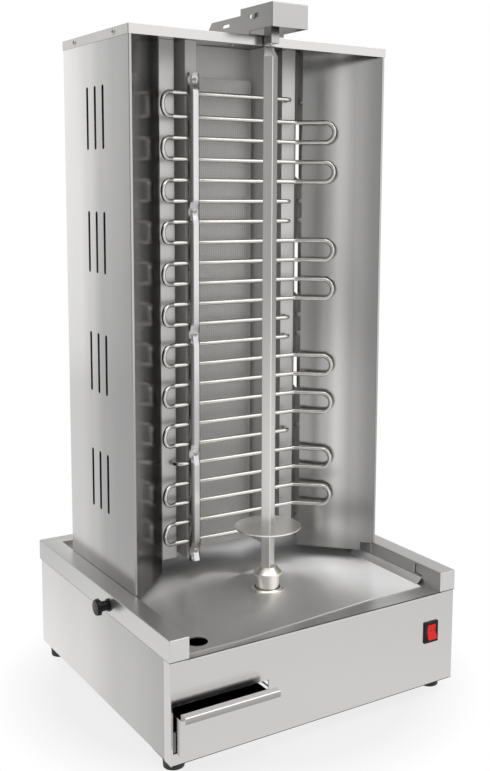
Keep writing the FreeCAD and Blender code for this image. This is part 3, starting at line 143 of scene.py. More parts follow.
def brushed(name, colour, roughness, along, streak=0.05, depth=0.000012, waves=0.0004, **shader_values):
    """Brushed stainless steel: fine scratches along the named axes, and sheet that isn't quite flat."""
    material, shader, here = finish(name, colour, roughness, metallic=1.0, **shader_values)
    fine = 1 / GRAIN_PITCH
    coarse = 1 / GRAIN_LENGTH
    scale = [coarse if axis in along else fine for axis in "xyz"]
    scratches = here.stretched(*scale).noise(1.0, detail=3.0)
    wide = here.stretched(*[size / 5 for size in scale]).noise(1.0, detail=1.0)
    clouds = here.noise(7.0, detail=3.0)
    shade = scratches * 0.75 + wide * 0.25
    dark = [channel * 0.975 for channel in colour]
    light = [min(channel * 1.025, 1) for channel in colour]
    lay(shader, "Base Color", shade.spread(0.3, 0.7).blend((*dark, 1), (*light, 1)))
    lay(shader, "Roughness", roughness + (shade - 0.5) * streak + (clouds - 0.5) * 0.06)
    swell = here.stretched(*WAVES).noise(1.0, detail=0.0)
    raised(shader, scratches * depth + swell * waves, 1.0)
    return material


MERGE_DISTANCE = 1e-6
FLAT_ANGLE = math.radians(0.4)
FOLD_ANGLE = math.radians(35)
FOLD_RADIUS = 0.0011
SHEET_EDGE_SHARE = 0.25
NARROW_FACE = 0.0022

body_of = {
    node: body
    for body, members in frame["record"]["behaviour"]["bodies"].items()
    for node in members
}


def merged(node):
    """A CAD node's shape with its loose triangles joined and its flat faces whole."""
    shape = bmesh.new()
    shape.from_mesh(frame["nodes"][node].data)
    bmesh.ops.remove_doubles(shape, verts=shape.verts, dist=MERGE_DISTANCE)
    bmesh.ops.dissolve_limit(
        shape, angle_limit=FLAT_ANGLE, verts=shape.verts, edges=shape.edges,
        use_dissolve_boundaries=False)
    return shape


def fold_weights(shape):
    """Marks folds fully and the cut edges of the sheet a little, for the Bevel modifier."""
    weight = shape.edges.layers.float.new("bevel_weight_edge")
    for edge in shape.edges:
        if len(edge.link_faces) != 2 or edge.calc_face_angle() < FOLD_ANGLE:
            continue
        narrowest = min(2 * face.calc_area() / face.calc_perimeter() for face in edge.link_faces)
        edge[weight] = 1 if narrowest > NARROW_FACE else SHEET_EDGE_SHARE


def with_modifiers(piece):
    """Turns a piece's modifiers into plain mesh, and leaves none on it."""
    graph = bpy.context.evaluated_depsgraph_get()
    done = bpy.data.meshes.new_from_object(piece.evaluated_get(graph))
    piece.modifiers.clear()
    piece.data = done
    return piece


def placed(name, mesh, material):
    """A new object at the origin with one material."""
    piece = bpy.data.objects.new(name, mesh)
    bpy.context.scene.collection.objects.link(piece)
    mesh.materials.clear()
    mesh.materials.append(material)
    return piece


def stands_for(piece, *nodes):
    """Makes a finished piece take the place and the body of CAD nodes."""
    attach(piece, body_of[nodes[0]])
    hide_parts(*nodes)
    return piece


def extent(node):
    """Lowest and highest corner of a CAD node."""
    points = [vertex.co for vertex in frame["nodes"][node].data.vertices]
    low = Vector([min(point[axis] for point in points) for axis in range(3)])
    high = Vector([max(point[axis] for point in points) for axis in range(3)])
    return low, high


def softened(node, material, radius=FOLD_RADIUS, segments=3, smooth=35):
    """A CAD node's own shape with rounded folds and edges."""
    shape = merged(node)
    fold_weights(shape)
    mesh = bpy.data.meshes.new(node + "_finished")
    shape.to_mesh(mesh)
    shape.free()
    mesh.shade_smooth()
    mesh.set_sharp_from_angle(angle=math.radians(smooth))
    piece = placed(node + "_finished", mesh, material)
    bevel = piece.modifiers.new("folds", "BEVEL")
    bevel.limit_method = "WEIGHT"
    bevel.width = radius
    bevel.segments = segments
    bevel.use_clamp_overlap = False
    bevel.harden_normals = True
    with_modifiers(piece)
    return stands_for(piece, node)


def paint_light_along(material, axis, stops):
    """Paints light and shade into a sheet's colour along an axis, as painted reflections of a bowed sheet, by
    (place, share) stops in rising order.
    """
    tree = material.node_tree
    shader = tree.nodes["Principled BSDF"]
    steel = Wire(tree, shader.inputs["Base Color"].links[0].from_socket)
    here = Wire(tree, tree.nodes["Texture Coordinate"].outputs["Object"])
    place = here.node("ShaderNodeSeparateXYZ", {}, {"Vector": here}, output=axis)
    painted_tone = stops[0][1]
    for (low, start), (high, end) in zip(stops, stops[1:]):
        painted_tone = painted_tone + place.node(
            "ShaderNodeMapRange", {"interpolation_type": "SMOOTHSTEP"},
            {0: place, 1: low, 2: high, 3: 0.0, 4: end - start})
    grey = painted_tone.node("ShaderNodeCombineColor", {}, {0: painted_tone, 1: painted_tone, 2: painted_tone})
    lay(shader, "Base Color", steel.node(
        "ShaderNodeMix", {"data_type": "RGBA", "blend_type": "MULTIPLY"}, {0: 1.0, 6: steel, 7: grey}, output=2))


def front_to_back(material, node, *shares):
    """Paints light and shade into a material's colour from the front of a CAD node to its back, in even steps."""
    low, high = extent(node)
    step = (high.y - low.y) / (len(shares) - 1)
    paint_light_along(material, 1, [(low.y + step * number, share) for number, share in enumerate(shares)])


STEEL = (0.62, 0.612, 0.607)

case_steel = brushed("case_steel", STEEL, 0.19, along="xy")
wall_steel_painted_light = brushed("wall_steel_painted_light", STEEL, 0.19, along="xy")
# Painted reflection: the walls' colour is darker at the front and lighter towards the back.
front_to_back(wall_steel_painted_light, "base_case", 0.66, 0.80, 1.10, 1.25)
softened("base_case", wall_steel_painted_light)

# The front panel: a second folded sheet that closes the front and wraps round both sides, with
# punched openings for the drawer and the rocker switch.

softened("front_panel", case_steel)

# The floor plate of the base: galvanised sheet on the case's bottom flanges, with cooling slots
# under the motor. Below it sit four moulded rubber feet, each on a bolt with a nut.


def zinc_plate(name, colour=(0.55, 0.56, 0.57), roughness=0.42):
    """Zinc plating: grey with pale crystal patches."""
    material, shader, here = finish(name, colour, roughness, metallic=1.0)
    cells = here.node("ShaderNodeTexVoronoi", {}, {"Vector": here, "Scale": 220.0}, output=1)
    patch = cells.node("ShaderNodeSeparateColor", {}, {"Color": cells})
    pale = [channel * 1.15 for channel in colour]
    lay(shader, "Base Color", patch.blend((*colour, 1), (*pale, 1)))
    lay(shader, "Roughness", roughness + (patch - 0.5) * 0.12)
    return material


zinc = zinc_plate("zinc_plating")
softened("base_floor", zinc, radius=0.0004)


def moulded(name, colour, roughness, grain=0.0008, depth=0.00004, **shader_values):
    """Moulded rubber or plastic with a fine matt texture."""
    material, shader, here = finish(name, colour, roughness, **shader_values)
    speckle = here.noise(1 / grain, detail=2.0)
    dust = here.noise(60.0, detail=3.0)
    pale = [channel * 1.6 + 0.004 for channel in colour]
    lay(shader, "Base Color", dust.spread(0.45, 0.75).blend((*colour, 1), (*pale, 1)))
    lay(shader, "Roughness", roughness + (dust - 0.5) * 0.15)
    raised(shader, speckle, depth)
    return material


rubber = moulded("black_rubber", (0.012, 0.012, 0.012), 0.55)
softened("rubber_feet", rubber, radius=0.0009, segments=3)
softened("foot_bolts", zinc, radius=0.0004)
softened("foot_nuts", zinc, radius=0.0004)

# The drive: a hat-shaped bracket under the tray floor carries a die-cast gearbox with its motor
# can, held by four screws. The drive shaft comes up through a bronze bearing.

cast = zinc_plate("cast_housing", (0.42, 0.43, 0.44), 0.5)
bronze, bronze_shader, here = finish("sintered_bronze", (0.55, 0.36, 0.16), 0.38, metallic=1.0)
lay(bronze_shader, "Roughness", 0.3 + here.noise(900.0) * 0.25)
softened("motor_bracket", zinc, radius=0.0015)
softened("gear_motor", cast, radius=0.002)
softened("motor_screws", zinc, radius=0.0003)
softened("lower_bearing", bronze, radius=0.0004)
softened("drive_shaft", zinc, radius=0.0004)

# The tray cover: one sheet with hollow rims folded up at the left, the right and the back, and
# open at the front. The drip pan lies in it, polished smoother than the case, and the drain
# spout goes down through both into the drawer.

cover_steel = brushed("cover_steel", (0.68, 0.672, 0.667), 0.30, along="y", Metallic=0.88)
pan_steel_painted_sheen = brushed(
    "pan_steel_painted_sheen", (0.88, 0.872, 0.868), 0.40, along="x", waves=0.0003, Metallic=0.85, Anisotropic=0.95,
    Tangent=(0, 1, 0), Coat_Weight=0.2, Coat_Roughness=0.12)
softened("tray_cover", cover_steel)
# Painted sheen: the pan's colour is darker at the left and lighter towards the right; the drain spout shares it.
pan_low, pan_high = extent("drip_pan")
pan_steps = [pan_low.x + (pan_high.x - pan_low.x) * step / 4 for step in range(5)]
paint_light_along(pan_steel_painted_sheen, 0, list(zip(pan_steps, (0.74, 0.82, 0.98, 1.17, 1.10))))
cover_low, cover_high = extent("tray_cover")
RIM_WIDTH = 0.028
WINDOW_DEPTH = 0.0022
WINDOW_BACKING = (0.030, 0.076)
WINDOW_LEVELS = (0.0290, 0.002)


def slab(name, low, high, material):
    """A plain plate between two corners."""
    shape = bmesh.new()
    middle, size = (Vector(low) + Vector(high)) / 2, Vector(high) - Vector(low)
    bmesh.ops.create_cube(shape, size=1, matrix=Matrix.Translation(middle) @ Matrix.Diagonal((*size, 1)))
    mesh = bpy.data.meshes.new(name)
    shape.to_mesh(mesh)
    shape.free()
    return placed(name, mesh, material)


window_x = cover_high.x - RIM_WIDTH + WINDOW_DEPTH
backing = slab(
    "window_backing",
    (window_x, cover_low.y + WINDOW_BACKING[0], cover_high.z - WINDOW_LEVELS[0]),
    (window_x + 0.0005, cover_low.y + WINDOW_BACKING[1], cover_high.z - WINDOW_LEVELS[1]),
    cover_steel)
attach(backing, body_of["tray_cover"])
softened("drip_pan", pan_steel_painted_sheen, radius=0.0004)
softened("drain_spout", pan_steel_painted_sheen, radius=0.0004)

# The seal round the spit's foot: a bright turned ring on the pan with a rubber lip inside.

turned, turned_shader, here = finish("turned_steel", (0.95, 0.92, 0.86), 0.16, metallic=1.0)
rings = here.stretched(150, 150, 2600).noise(1.0)
lay(turned_shader, "Roughness", 0.24 + rings * 0.12)
raised(turned_shader, rings, 0.00001)
softened("deck_ring", turned, radius=0.0006)
softened("shaft_seal", rubber, radius=0.0004)

# The drawer: a front plate with a folded lip to pull it by, a tray riveted behind it, and two
# angles on the floor plate that carry and guide the tray.

drawer_steel_painted_shade = brushed("drawer_steel_painted_shade", STEEL, 0.20, along="x")
# Painted shade darkens a band of the lip's front face under its top edge, and a painted highlight lightens the top
# edge itself.
lip_top = extent("drawer_front")[1].z
paint_light_along(drawer_steel_painted_shade, 2, [
    (lip_top - drop, share) for drop, share in ((0.0102, 1.0), (0.0086, 0.56), (0.0022, 0.66), (0.0008, 1.1))])
softened("drawer_front", drawer_steel_painted_shade, radius=0.0018, segments=5)
softened("drawer_tray", case_steel, radius=0.0009)
softened("drawer_rivets", zinc, radius=0.0004)
softened("drawer_rails", zinc, radius=0.0006)

# The rocker switch: a black moulded body with a bezel, clipped into the front panel, and a
# glossy red rocker that tips in its pocket. Blade terminals stand on its back.

switch_plastic = moulded("switch_plastic", (0.006, 0.006, 0.006), 0.32, Specular_IOR_Level=0.25)
# A faint painted glow in the red plastic brightens the rocker, though it holds no lamp.
red = moulded(
    "red_plastic", (0.66, 0.010, 0.008), 0.25, depth=0.00001, Specular_IOR_Level=0.25,
    Emission_Color=(0.8, 0.02, 0.01, 1), Emission_Strength=0.12)
softened("switch_body", switch_plastic, radius=0.0008)
softened("rocker_button", red, radius=0.0009)
softened("switch_terminals", zinc, radius=0.0002)

# The clamp knob on the left rim: a black moulded grip on a steel screw, with a washer outside
# the rim and a nut inside it. It clamps the tower where the operator has slid it.

knob_low, knob_high = extent("clamp_knob")
KNOB_HEAD = 0.007
RIDGE = 0.0016


def grown(name, points, material, sizes, grow):
    """A mesh grown by Geometry Nodes on points: `grow` turns the named sizes into a shape."""
    group = bpy.data.node_groups.new(name, "GeometryNodeTree")
    group.interface.new_socket("Geometry", in_out="INPUT", socket_type="NodeSocketGeometry")
    group.interface.new_socket("Geometry", in_out="OUTPUT", socket_type="NodeSocketGeometry")
    for size, value in sizes.items():
        socket = group.interface.new_socket(size, in_out="INPUT", socket_type="NodeSocketFloat")
        socket.default_value = value
    given = group.nodes.new("NodeGroupInput")
    wires = {size: Wire(group, given.outputs[size]) for size in sizes}
    shape = grow(Wire(group, given.outputs["Geometry"]), **wires)
    whole = shape.node("GeometryNodeRealizeInstances", {}, {"Geometry": shape})
    done = whole.node("GeometryNodeSetMaterial", {}, {"Geometry": whole, "Material": material})
    result = group.nodes.new("NodeGroupOutput")
    group.links.new(done.socket, result.inputs["Geometry"])
    mesh = bpy.data.meshes.new(name)
    mesh.from_pydata([tuple(point) for point in points], [], [])
    piece = placed(name, mesh, material)
    piece.modifiers.new("grown", "NODES").node_group = group
    with_modifiers(piece)
    piece.data.shade_smooth()
    piece.data.set_sharp_from_angle(angle=math.radians(40))
    return piece


def ridges(points, ring, ridge, length):
    """A ring of round ridges along X round each point."""
    places = ring.node("GeometryNodeMeshCircle", {}, {"Vertices": 9, "Radius": ring})
    bar = ridge.node(
        "GeometryNodeMeshCylinder", {}, {"Vertices": 16, "Radius": ridge, "Depth": length})
    crown = places.node("GeometryNodeInstanceOnPoints", {}, {"Points": places, "Instance": bar})
    return points.node(
        "GeometryNodeInstanceOnPoints", {},
        {"Points": points, "Instance": crown, "Rotation": (0, math.pi / 2, 0)})


knob_radius = (knob_high.z - knob_low.z) / 2
knob_middle = (knob_low + knob_high) / 2
knob_middle.x = knob_low.x + KNOB_HEAD / 2 + 0.0006
grip = grown(
    "knob_ridges", [knob_middle], switch_plastic,
    {"ring": knob_radius - RIDGE * 0.6, "ridge": RIDGE, "length": KNOB_HEAD - 0.002}, ridges)
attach(grip, body_of["clamp_knob"])
softened("clamp_knob", switch_plastic, radius=0.0009)
softened("clamp_screw", zinc, radius=0.0003)
softened("clamp_washer", switch_plastic, radius=0.0003)
softened("clamp_nut", zinc, radius=0.0003)

# The mains inlet on the back: a black cable gland, and a ceramic terminal block inside.

ceramic = moulded("white_ceramic", (0.75, 0.73, 0.68), 0.4)
softened("cable_gland", switch_plastic, radius=0.0006)
softened("terminal_block", ceramic, radius=0.0008)

# The tower's side panels: brushed sheets that stand on the rims, folded in at the front and the
# back. The left one has four groups of three cooling slots. A cover closes the back, except on the
# right above its lower band, and runners inside the panels guide the tower.

side_steel_painted_light = brushed("side_steel_painted_light", STEEL, 0.20, along="z", waves=0.0007)
# Painted reflection: the side panels' colour is darker at the front and lighter towards the back; the terminal box
# shares it.
front_to_back(side_steel_painted_light, "side_panel_left", 0.64, 0.66, 0.74, 0.98, 1.16, 1.20)
side_panel = softened("side_panel_left", side_steel_painted_light)
# Painted shade: near black for the walls of the slots and for the left reflector's faces that face left, standing
# in for the shade in them.
painted_slot_shade, painted_slot_shader, here = finish("painted_slot_shade", (0.03, 0.029, 0.028), 0.7)
lay(painted_slot_shader, "Roughness", 0.6 + here.noise(800.0) * 0.2)
side_low, side_high = extent("side_panel_left")
SLOT_MARGIN = 0.03


def inside(place, low, high, margin):
    """Whether a place is well inside a panel's outline, seen from the side."""
    return all(low[axis] + margin < place[axis] < high[axis] - margin for axis in (1, 2))


def shaded(piece, material, picks):
    """Gives some of a piece's faces a second material."""
    piece.data.materials.append(material)
    for face in piece.data.polygons:
        if picks(face):
            face.material_index = 1


# The walls of the side panel's slots take the painted shade.
shaded(side_panel, painted_slot_shade, lambda face: (
    abs(face.normal.x) < 0.9 and inside(face.center, side_low, side_high, SLOT_MARGIN)))
softened("side_panel_right", side_steel_painted_light)
softened("back_cover", brushed("cover_sheet", (0.34, 0.335, 0.33), 0.35, along="z"))
softened("tower_runners", zinc, radius=0.0004)

# The reflectors: sheets that slant back from the front corners to the heaters, and the
# slotted facets behind them. Painted reflections and painted shade band their colour.

right_wing_painted_reflections = brushed("right_wing_painted_reflections", (0.62, 0.612, 0.607), 0.19, along="z", waves=0.0042)
# The left reflector's steel is darker than the right one's, and its colour falls to near black towards the heater:
# painted shade and painted reflection of the dark recess.
left_wing_painted_shade = brushed("left_wing_painted_shade", (0.52, 0.513, 0.508), 0.18, along="z", waves=0.0010)
left_edge, right_edge = extent("reflector_left")[0].x, extent("reflector_right")[1].x
paint_light_along(left_wing_painted_shade, 0, [
    (left_edge + reach, share) for reach, share in ((0.012, 0.74), (0.042, 0.62), (0.060, 0.08), (0.080, 0.01))])
# Painted reflections: bright and dark bands across the right reflector's colour, running its whole height.
paint_light_along(right_wing_painted_reflections, 0, [
    (right_edge - reach, share)
    for reach, share in (
        (0.110, 1.35), (0.098, 0.62), (0.077, 0.64), (0.055, 0.80), (0.043, 1.10), (0.026, 0.70), (0.003, 0.48))])
# The left reflector takes that painted shade, and its faces that face left take the near-black painted shade.
shaded(softened("reflector_left", left_wing_painted_shade), painted_slot_shade, lambda face: face.normal.x < -0.3)
softened("reflector_right", right_wing_painted_reflections)

# The heater recess: upright plates with holes for the tube ends, the back wall, and the terminal
# box behind it.

# The heater plates' steel is darker than the rest: painted shade for the recess they stand in.
plate_steel_painted_shade = brushed("plate_steel_painted_shade", (0.50, 0.493, 0.488), 0.40, along="z")
# The rests' steel is pale and half matt: painted light standing in for light bounced into the recess.
rest_steel_painted_light = brushed("rest_steel_painted_light", (0.80, 0.79, 0.78), 0.55, along="z", Metallic=0.2)
recess_steel = brushed("recess_steel", (0.62, 0.61, 0.60), 0.55, along="z", Metallic=0.6)
softened("heater_plate_left", plate_steel_painted_shade, radius=0.0006)
softened("heater_plate_right", plate_steel_painted_shade, radius=0.0006)
softened("recess_back", recess_steel, radius=0.0005)
softened("tube_rests", rest_steel_painted_light, radius=0.0006)
softened("terminal_box", side_steel_painted_light)

# The ceramic fibre board behind the tubes, with fine wire mesh in front of it.

fibre, fibre_shader, here = finish("ceramic_fibre", (0.55, 0.54, 0.53), 0.85)
tufts = here.noise(420.0, detail=4.0)
lay(fibre_shader, "Base Color", tufts.blend((0.52, 0.51, 0.50, 1), (0.86, 0.85, 0.84, 1)))
raised(fibre_shader, tufts, 0.0006)
softened("fibre_board", fibre, radius=0.0008)


def fence(reach, length, pitch, wire, lying):
    """Parallel wires across a reach: upright ones side by side, or lying ones stacked."""
    places = reach.node("GeometryNodeMeshLine", {"mode": "OFFSET"}, {
        "Count": reach / pitch,
        "Start Location": spot(reach * -0.5, lying),
        "Offset": spot(pitch, lying),
    })
    bar = wire.node("GeometryNodeMeshCylinder", {}, {"Vertices": 6, "Radius": wire, "Depth": length})
    turn = (0, math.pi / 2, 0) if lying else (0, 0, 0)
    return places.node(
        "GeometryNodeInstanceOnPoints", {}, {"Points": places, "Instance": bar, "Rotation": turn})


def spot(distance, upward):
    """A vector of one length along Z, or along X."""
    return distance.node("ShaderNodeCombineXYZ", {}, {"Z" if upward else "X": distance})


def woven(points, width, height, pitch, wire):
    """Crossed wires in a frame's opening, round each point."""
    crossed = [fence(width, height, pitch, wire, False), fence(height, width, pitch, wire, True)]
    whole = crossed[0].node("GeometryNodeJoinGeometry", {}, {"Geometry": crossed})
    return points.node("GeometryNodeInstanceOnPoints", {}, {"Points": points, "Instance": whole})


board_low, board_high = extent("fibre_board")
MESH_PITCH = 0.0032
MESH_WIRE = 0.0004
mesh_middle = (board_low + board_high) / 2
mesh_middle.y = board_low.y - MESH_WIRE * 2
mesh_steel, mesh_shader, here = finish("mesh_steel", (0.62, 0.61, 0.60), 0.35, metallic=1.0)
lay(mesh_shader, "Roughness", 0.28 + here.noise(500.0) * 0.2)
netting = grown(
    "wire_netting", [mesh_middle], mesh_steel,
    {"width": board_high.x - board_low.x, "height": board_high.z - board_low.z,
     "pitch": MESH_PITCH, "wire": MESH_WIRE}, woven)
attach(netting, body_of["fibre_board"])

# The heating elements: four bent tubes in satin stainless steel, their nuts, and the two clamp
# strips that hold the tubes to the rests.

tube_steel, tube_shader, here = finish("tube_steel", (0.70, 0.68, 0.65), 0.22, metallic=1.0)
scale = here.noise(260.0, detail=3.0)
lay(tube_shader, "Roughness", 0.16 + scale * 0.14)
lay(tube_shader, "Base Color", scale.blend((0.52, 0.495, 0.46, 1), (0.68, 0.67, 0.65, 1)))
for number in range(1, 5):
    softened(f"heater_zone_{number}", tube_steel, radius=0.0002)
softened("tube_nuts", zinc, radius=0.0004)


def solids(node):
    """Lowest and highest corner of each separate solid of a CAD node."""
    shape = merged(node)
    left = set(shape.verts)
    found = []
    while left:
        piece, edge = set(), {left.pop()}
        while edge:
            vertex = edge.pop()
            piece.add(vertex)
            edge |= {link.other_vert(vertex) for link in vertex.link_edges} - piece
        left -= piece
        places = [vertex.co for vertex in piece]
        found.append(tuple(
            Vector([pick(place[axis] for place in places) for axis in range(3)]) for pick in (min, max)))
    shape.free()
    return found


def recessed(points, radius, rise, length):
    """Domed screws with a cross recess, heads along Z, on points."""
    dome = radius.node("GeometryNodeMeshUVSphere", {}, {"Segments": 24, "Rings": 12, "Radius": radius})
    flat = dome.node("GeometryNodeTransform", {}, {
        "Geometry": dome, "Scale": radius.node("ShaderNodeCombineXYZ", {}, {"X": 1, "Y": 1, "Z": rise / radius})})
    cuts = []
    for share, turn in ((1.1, 0), (1.1, math.pi / 2)):
        bar = radius.node("GeometryNodeMeshCube", {}, {
            "Size": radius.node("ShaderNodeCombineXYZ", {}, {"X": radius * share, "Y": radius * 0.24, "Z": rise})})
        cuts.append(bar.node("GeometryNodeTransform", {}, {
            "Geometry": bar, "Rotation": (0, 0, turn),
            "Translation": rise.node("ShaderNodeCombineXYZ", {}, {"Z": rise})}))
    head = flat.node("GeometryNodeMeshBoolean", {"operation": "DIFFERENCE"}, {"Mesh 1": flat, "Mesh 2": cuts})
    shank = radius.node(
        "GeometryNodeMeshCylinder", {}, {"Vertices": 16, "Radius": radius * 0.5, "Depth": length})
    low = shank.node("GeometryNodeTransform", {}, {
        "Geometry": shank, "Translation": length.node("ShaderNodeCombineXYZ", {}, {"Z": length * -0.5})})
    return head.node("GeometryNodeJoinGeometry", {}, {"Geometry": [head, low]})


def screws(node, aim, rise, material, sunk=0.0):
    """Cross-recessed screws in the place of the CAD's, heads towards `aim`."""
    aim = Vector(aim)
    axis = max(range(3), key=lambda number: abs(aim[number]))
    seats = []
    for low, high in solids(node):
        seat = (low + high) / 2
        if axis == 0 and seat.x * aim.x < 0:
            continue
        seat[axis] = (high if aim[axis] > 0 else low)[axis] - (rise + sunk) * aim[axis]
        seats.append(seat)
    across = (axis + 1) % 3
    radius = (high[across] - low[across]) / 2
    length = high[axis] - low[axis] - rise - sunk
    turn = Vector((0, 0, 1)).rotation_difference(aim).to_euler()

    def stand(points, radius, rise, length):
        screw = recessed(points, radius, rise, length)
        return points.node(
            "GeometryNodeInstanceOnPoints", {}, {"Points": points, "Instance": screw, "Rotation": tuple(turn)})

    return grown(
        node + "_" + "xyz"[axis] + str(len(seats)), seats, material,
        {"radius": radius, "rise": rise, "length": length}, stand)


PINCH_SHARE = 0.45
PINCH_REACH = 0.018
STRIP_SHEET = 0.0008
STRIP_SECTION = ((-1, 0), (-0.8, 0.5), (-0.4, 1), (0.5, 1), (0.86, 0.5), (1, 0))


def bulge(level, levels):
    """Share of its depth that a strip keeps at a height: least at the screws."""
    away = min(min(abs(level - screw) for screw in levels) / PINCH_REACH, 1)
    return PINCH_SHARE + (1 - PINCH_SHARE) * away * away * (3 - 2 * away)


def pinched_strip(shape, low, high, levels):
    """A channel along Z, pressed flatter at each screw."""
    stations = {low.z, high.z}
    for screw in levels:
        stations |= {screw + PINCH_REACH * share / 5 for share in range(-5, 6)}
    stations = sorted(level for level in stations if low.z <= level <= high.z)
    middle, half = (low.x + high.x) / 2, (high.x - low.x) / 2
    rows = []
    for level in stations:
        reach = (high.y - low.y) * bulge(level, levels)
        front = [(middle + x * half, high.y - rise * reach - STRIP_SHEET, level) for x, rise in STRIP_SECTION]
        back = [(x, y + STRIP_SHEET, z) for x, y, z in reversed(front)]
        rows.append([shape.verts.new(place) for place in front + back])
    for lower, upper in zip(rows, rows[1:]):
        for number in range(len(lower)):
            after = (number + 1) % len(lower)
            shape.faces.new((lower[number], lower[after], upper[after], upper[number]))
    shape.faces.new(rows[0][::-1])
    shape.faces.new(rows[-1])


strip_screw_boxes = solids("strip_screws")
strips = bmesh.new()
for low, high in solids("clamp_strips"):
    levels = [(box[0].z + box[1].z) / 2 for box in strip_screw_boxes if low.x < box[0].x < high.x]
    pinched_strip(strips, low, high, levels)
bmesh.ops.recalc_face_normals(strips, faces=strips.faces)
strip_mesh = bpy.data.meshes.new("pinched_strips")
strips.to_mesh(strip_mesh)
strips.free()
strip_mesh.shade_smooth()
strip_mesh.set_sharp_from_angle(angle=math.radians(20))
strip_steel = brushed("strip_steel", (0.57, 0.563, 0.558), 0.22, along="z")
stands_for(placed("pinched_strips", strip_mesh, strip_steel), "clamp_strips")
strip_depth = high.y - low.y
strip_sunk = strip_depth * (1 - PINCH_SHARE)
stands_for(screws("strip_screws", (0, -1, 0), 0.0024, zinc, sunk=strip_sunk), "strip_screws")

# The roof: a shallow folded cap screwed to the side panels.

roof_steel = brushed("roof_steel", (0.52, 0.513, 0.508), 0.20, along="x")
softened("roof_cap", roof_steel)
roof_left = screws("roof_screws", (-1, 0, 0), 0.002, zinc)
roof_right = screws("roof_screws", (1, 0, 0), 0.002, zinc)
stands_for(roof_left, "roof_screws")
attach(roof_right, body_of["roof_screws"])

# The top arm: a channel bolted to the roof, with a box over the spit that holds the upper
# bearing on a carriage clamped through two slots.

arm_steel = brushed("arm_steel", (0.40, 0.394, 0.389), 0.22, along="y")
softened("top_arm", arm_steel)
stands_for(screws("arm_bolts", (0, 0, 1), 0.0028, zinc), "arm_bolts")
softened("carriage_plate", zinc, radius=0.0006)
softened("bearing_block", arm_steel, radius=0.0006)
softened("upper_bush", bronze, radius=0.0002)
softened("carriage_bolts", switch_plastic, radius=0.0003)
softened("carriage_screws", zinc, radius=0.0003)

# The spit: a square bar with a pointed top, the turned socket that drives it, and the thin
# polished disc that carries the meat.

bar_steel = brushed("bar_steel", (0.92, 0.905, 0.88), 0.30, along="z")
disc_steel = brushed("disc_steel", (0.94, 0.93, 0.91), 0.32, along="x", streak=0.04, waves=0.0, Coat_Weight=0.3, Coat_Roughness=0.05)
softened("spit_rod", bar_steel, radius=0.0010)
softened("spit_socket", turned, radius=0.0006)
softened("meat_disc", disc_steel, radius=0.0006)

# The stage: a white floor that keeps the grill's shadow, and the soft light of a studio: a white
# sweep behind the grill, a pale wall to the front right, and dimmer air elsewhere.

FLOOR_REACH = 3.0
NEAR, FAR = 0.27, 0.37
NEAR_GLOW, FAR_GLOW = 0.80, 1.0
MIRROR_NEAR, MIRROR_FAR, MIRROR_NEAR_GLOW = 0.34, 0.8, 0.97
FRONT, BACK, FRONT_GLOW, BACK_GLOW = -1.2, 0.5, 0.95, 0.80
floor_finish, floor_shader, here = finish("white_floor", (0.45, 0.45, 0.45), 0.9)
tree = floor_finish.node_tree
glow = tree.nodes.new("ShaderNodeEmission")
light_path = tree.nodes.new("ShaderNodeLightPath")
shares = tree.nodes.new("ShaderNodeMixShader")


def rays(tree, light_path, *kinds):
    """One for rays of any of the named kinds."""
    found = [Wire(tree, light_path.outputs[f"Is {kind} Ray"]) for kind in kinds]
    return sum(found[1:], found[0])


reach = here.node("ShaderNodeVectorMath", {"operation": "LENGTH"}, {0: here}, output=1)
straight = rays(tree, light_path, "Camera")
mirrored = rays(tree, light_path, "Glossy", "Transmission")
share = straight * reach.spread(NEAR, FAR, NEAR_GLOW, FAR_GLOW) + mirrored
nearby = reach.spread(MIRROR_NEAR, MIRROR_FAR, 1.0, 0.0)
depth = here.node("ShaderNodeSeparateXYZ", {}, {"Vector": here}, output=1)
distant = depth.spread(FRONT, BACK, FRONT_GLOW, BACK_GLOW)
brightness = straight + mirrored * (distant + nearby * (MIRROR_NEAR_GLOW - distant))
tree.links.new(brightness.socket, glow.inputs["Strength"])
tree.links.new(share.socket, shares.inputs[0])
tree.links.new(floor_shader.outputs[0], shares.inputs[1])
tree.links.new(glow.outputs[0], shares.inputs[2])
tree.links.new(shares.outputs[0], tree.nodes["Material Output"].inputs["Surface"])
shape = bmesh.new()
bmesh.ops.create_circle(shape, cap_ends=True, segments=64, radius=FLOOR_REACH)
mesh = bpy.data.meshes.new("floor")
shape.to_mesh(mesh)
shape.free()
floor = placed("floor", mesh, floor_finish)

world = bpy.data.worlds.new("studio")
world.use_nodes = True
bpy.context.scene.world = world
tree = world.node_tree
background = tree.nodes["Background"]
background.inputs["Color"].default_value = (1, 1, 1, 1)
direction = Wire(tree, tree.nodes.new("ShaderNodeTexCoord").outputs["Generated"])


def glow_towards(azimuth, elevation, inner, outer):
    """One within `inner` degrees of a direction, falling to nothing at `outer`."""
    turn, rise = math.radians(azimuth), math.radians(elevation)
    aim = (math.sin(turn) * math.cos(rise), math.cos(turn) * math.cos(rise), math.sin(rise))
    along = direction.node("ShaderNodeVectorMath", {"operation": "DOT_PRODUCT"}, {0: direction, 1: aim}, output=1)
    return along.spread(math.cos(math.radians(outer)), math.cos(math.radians(inner)))


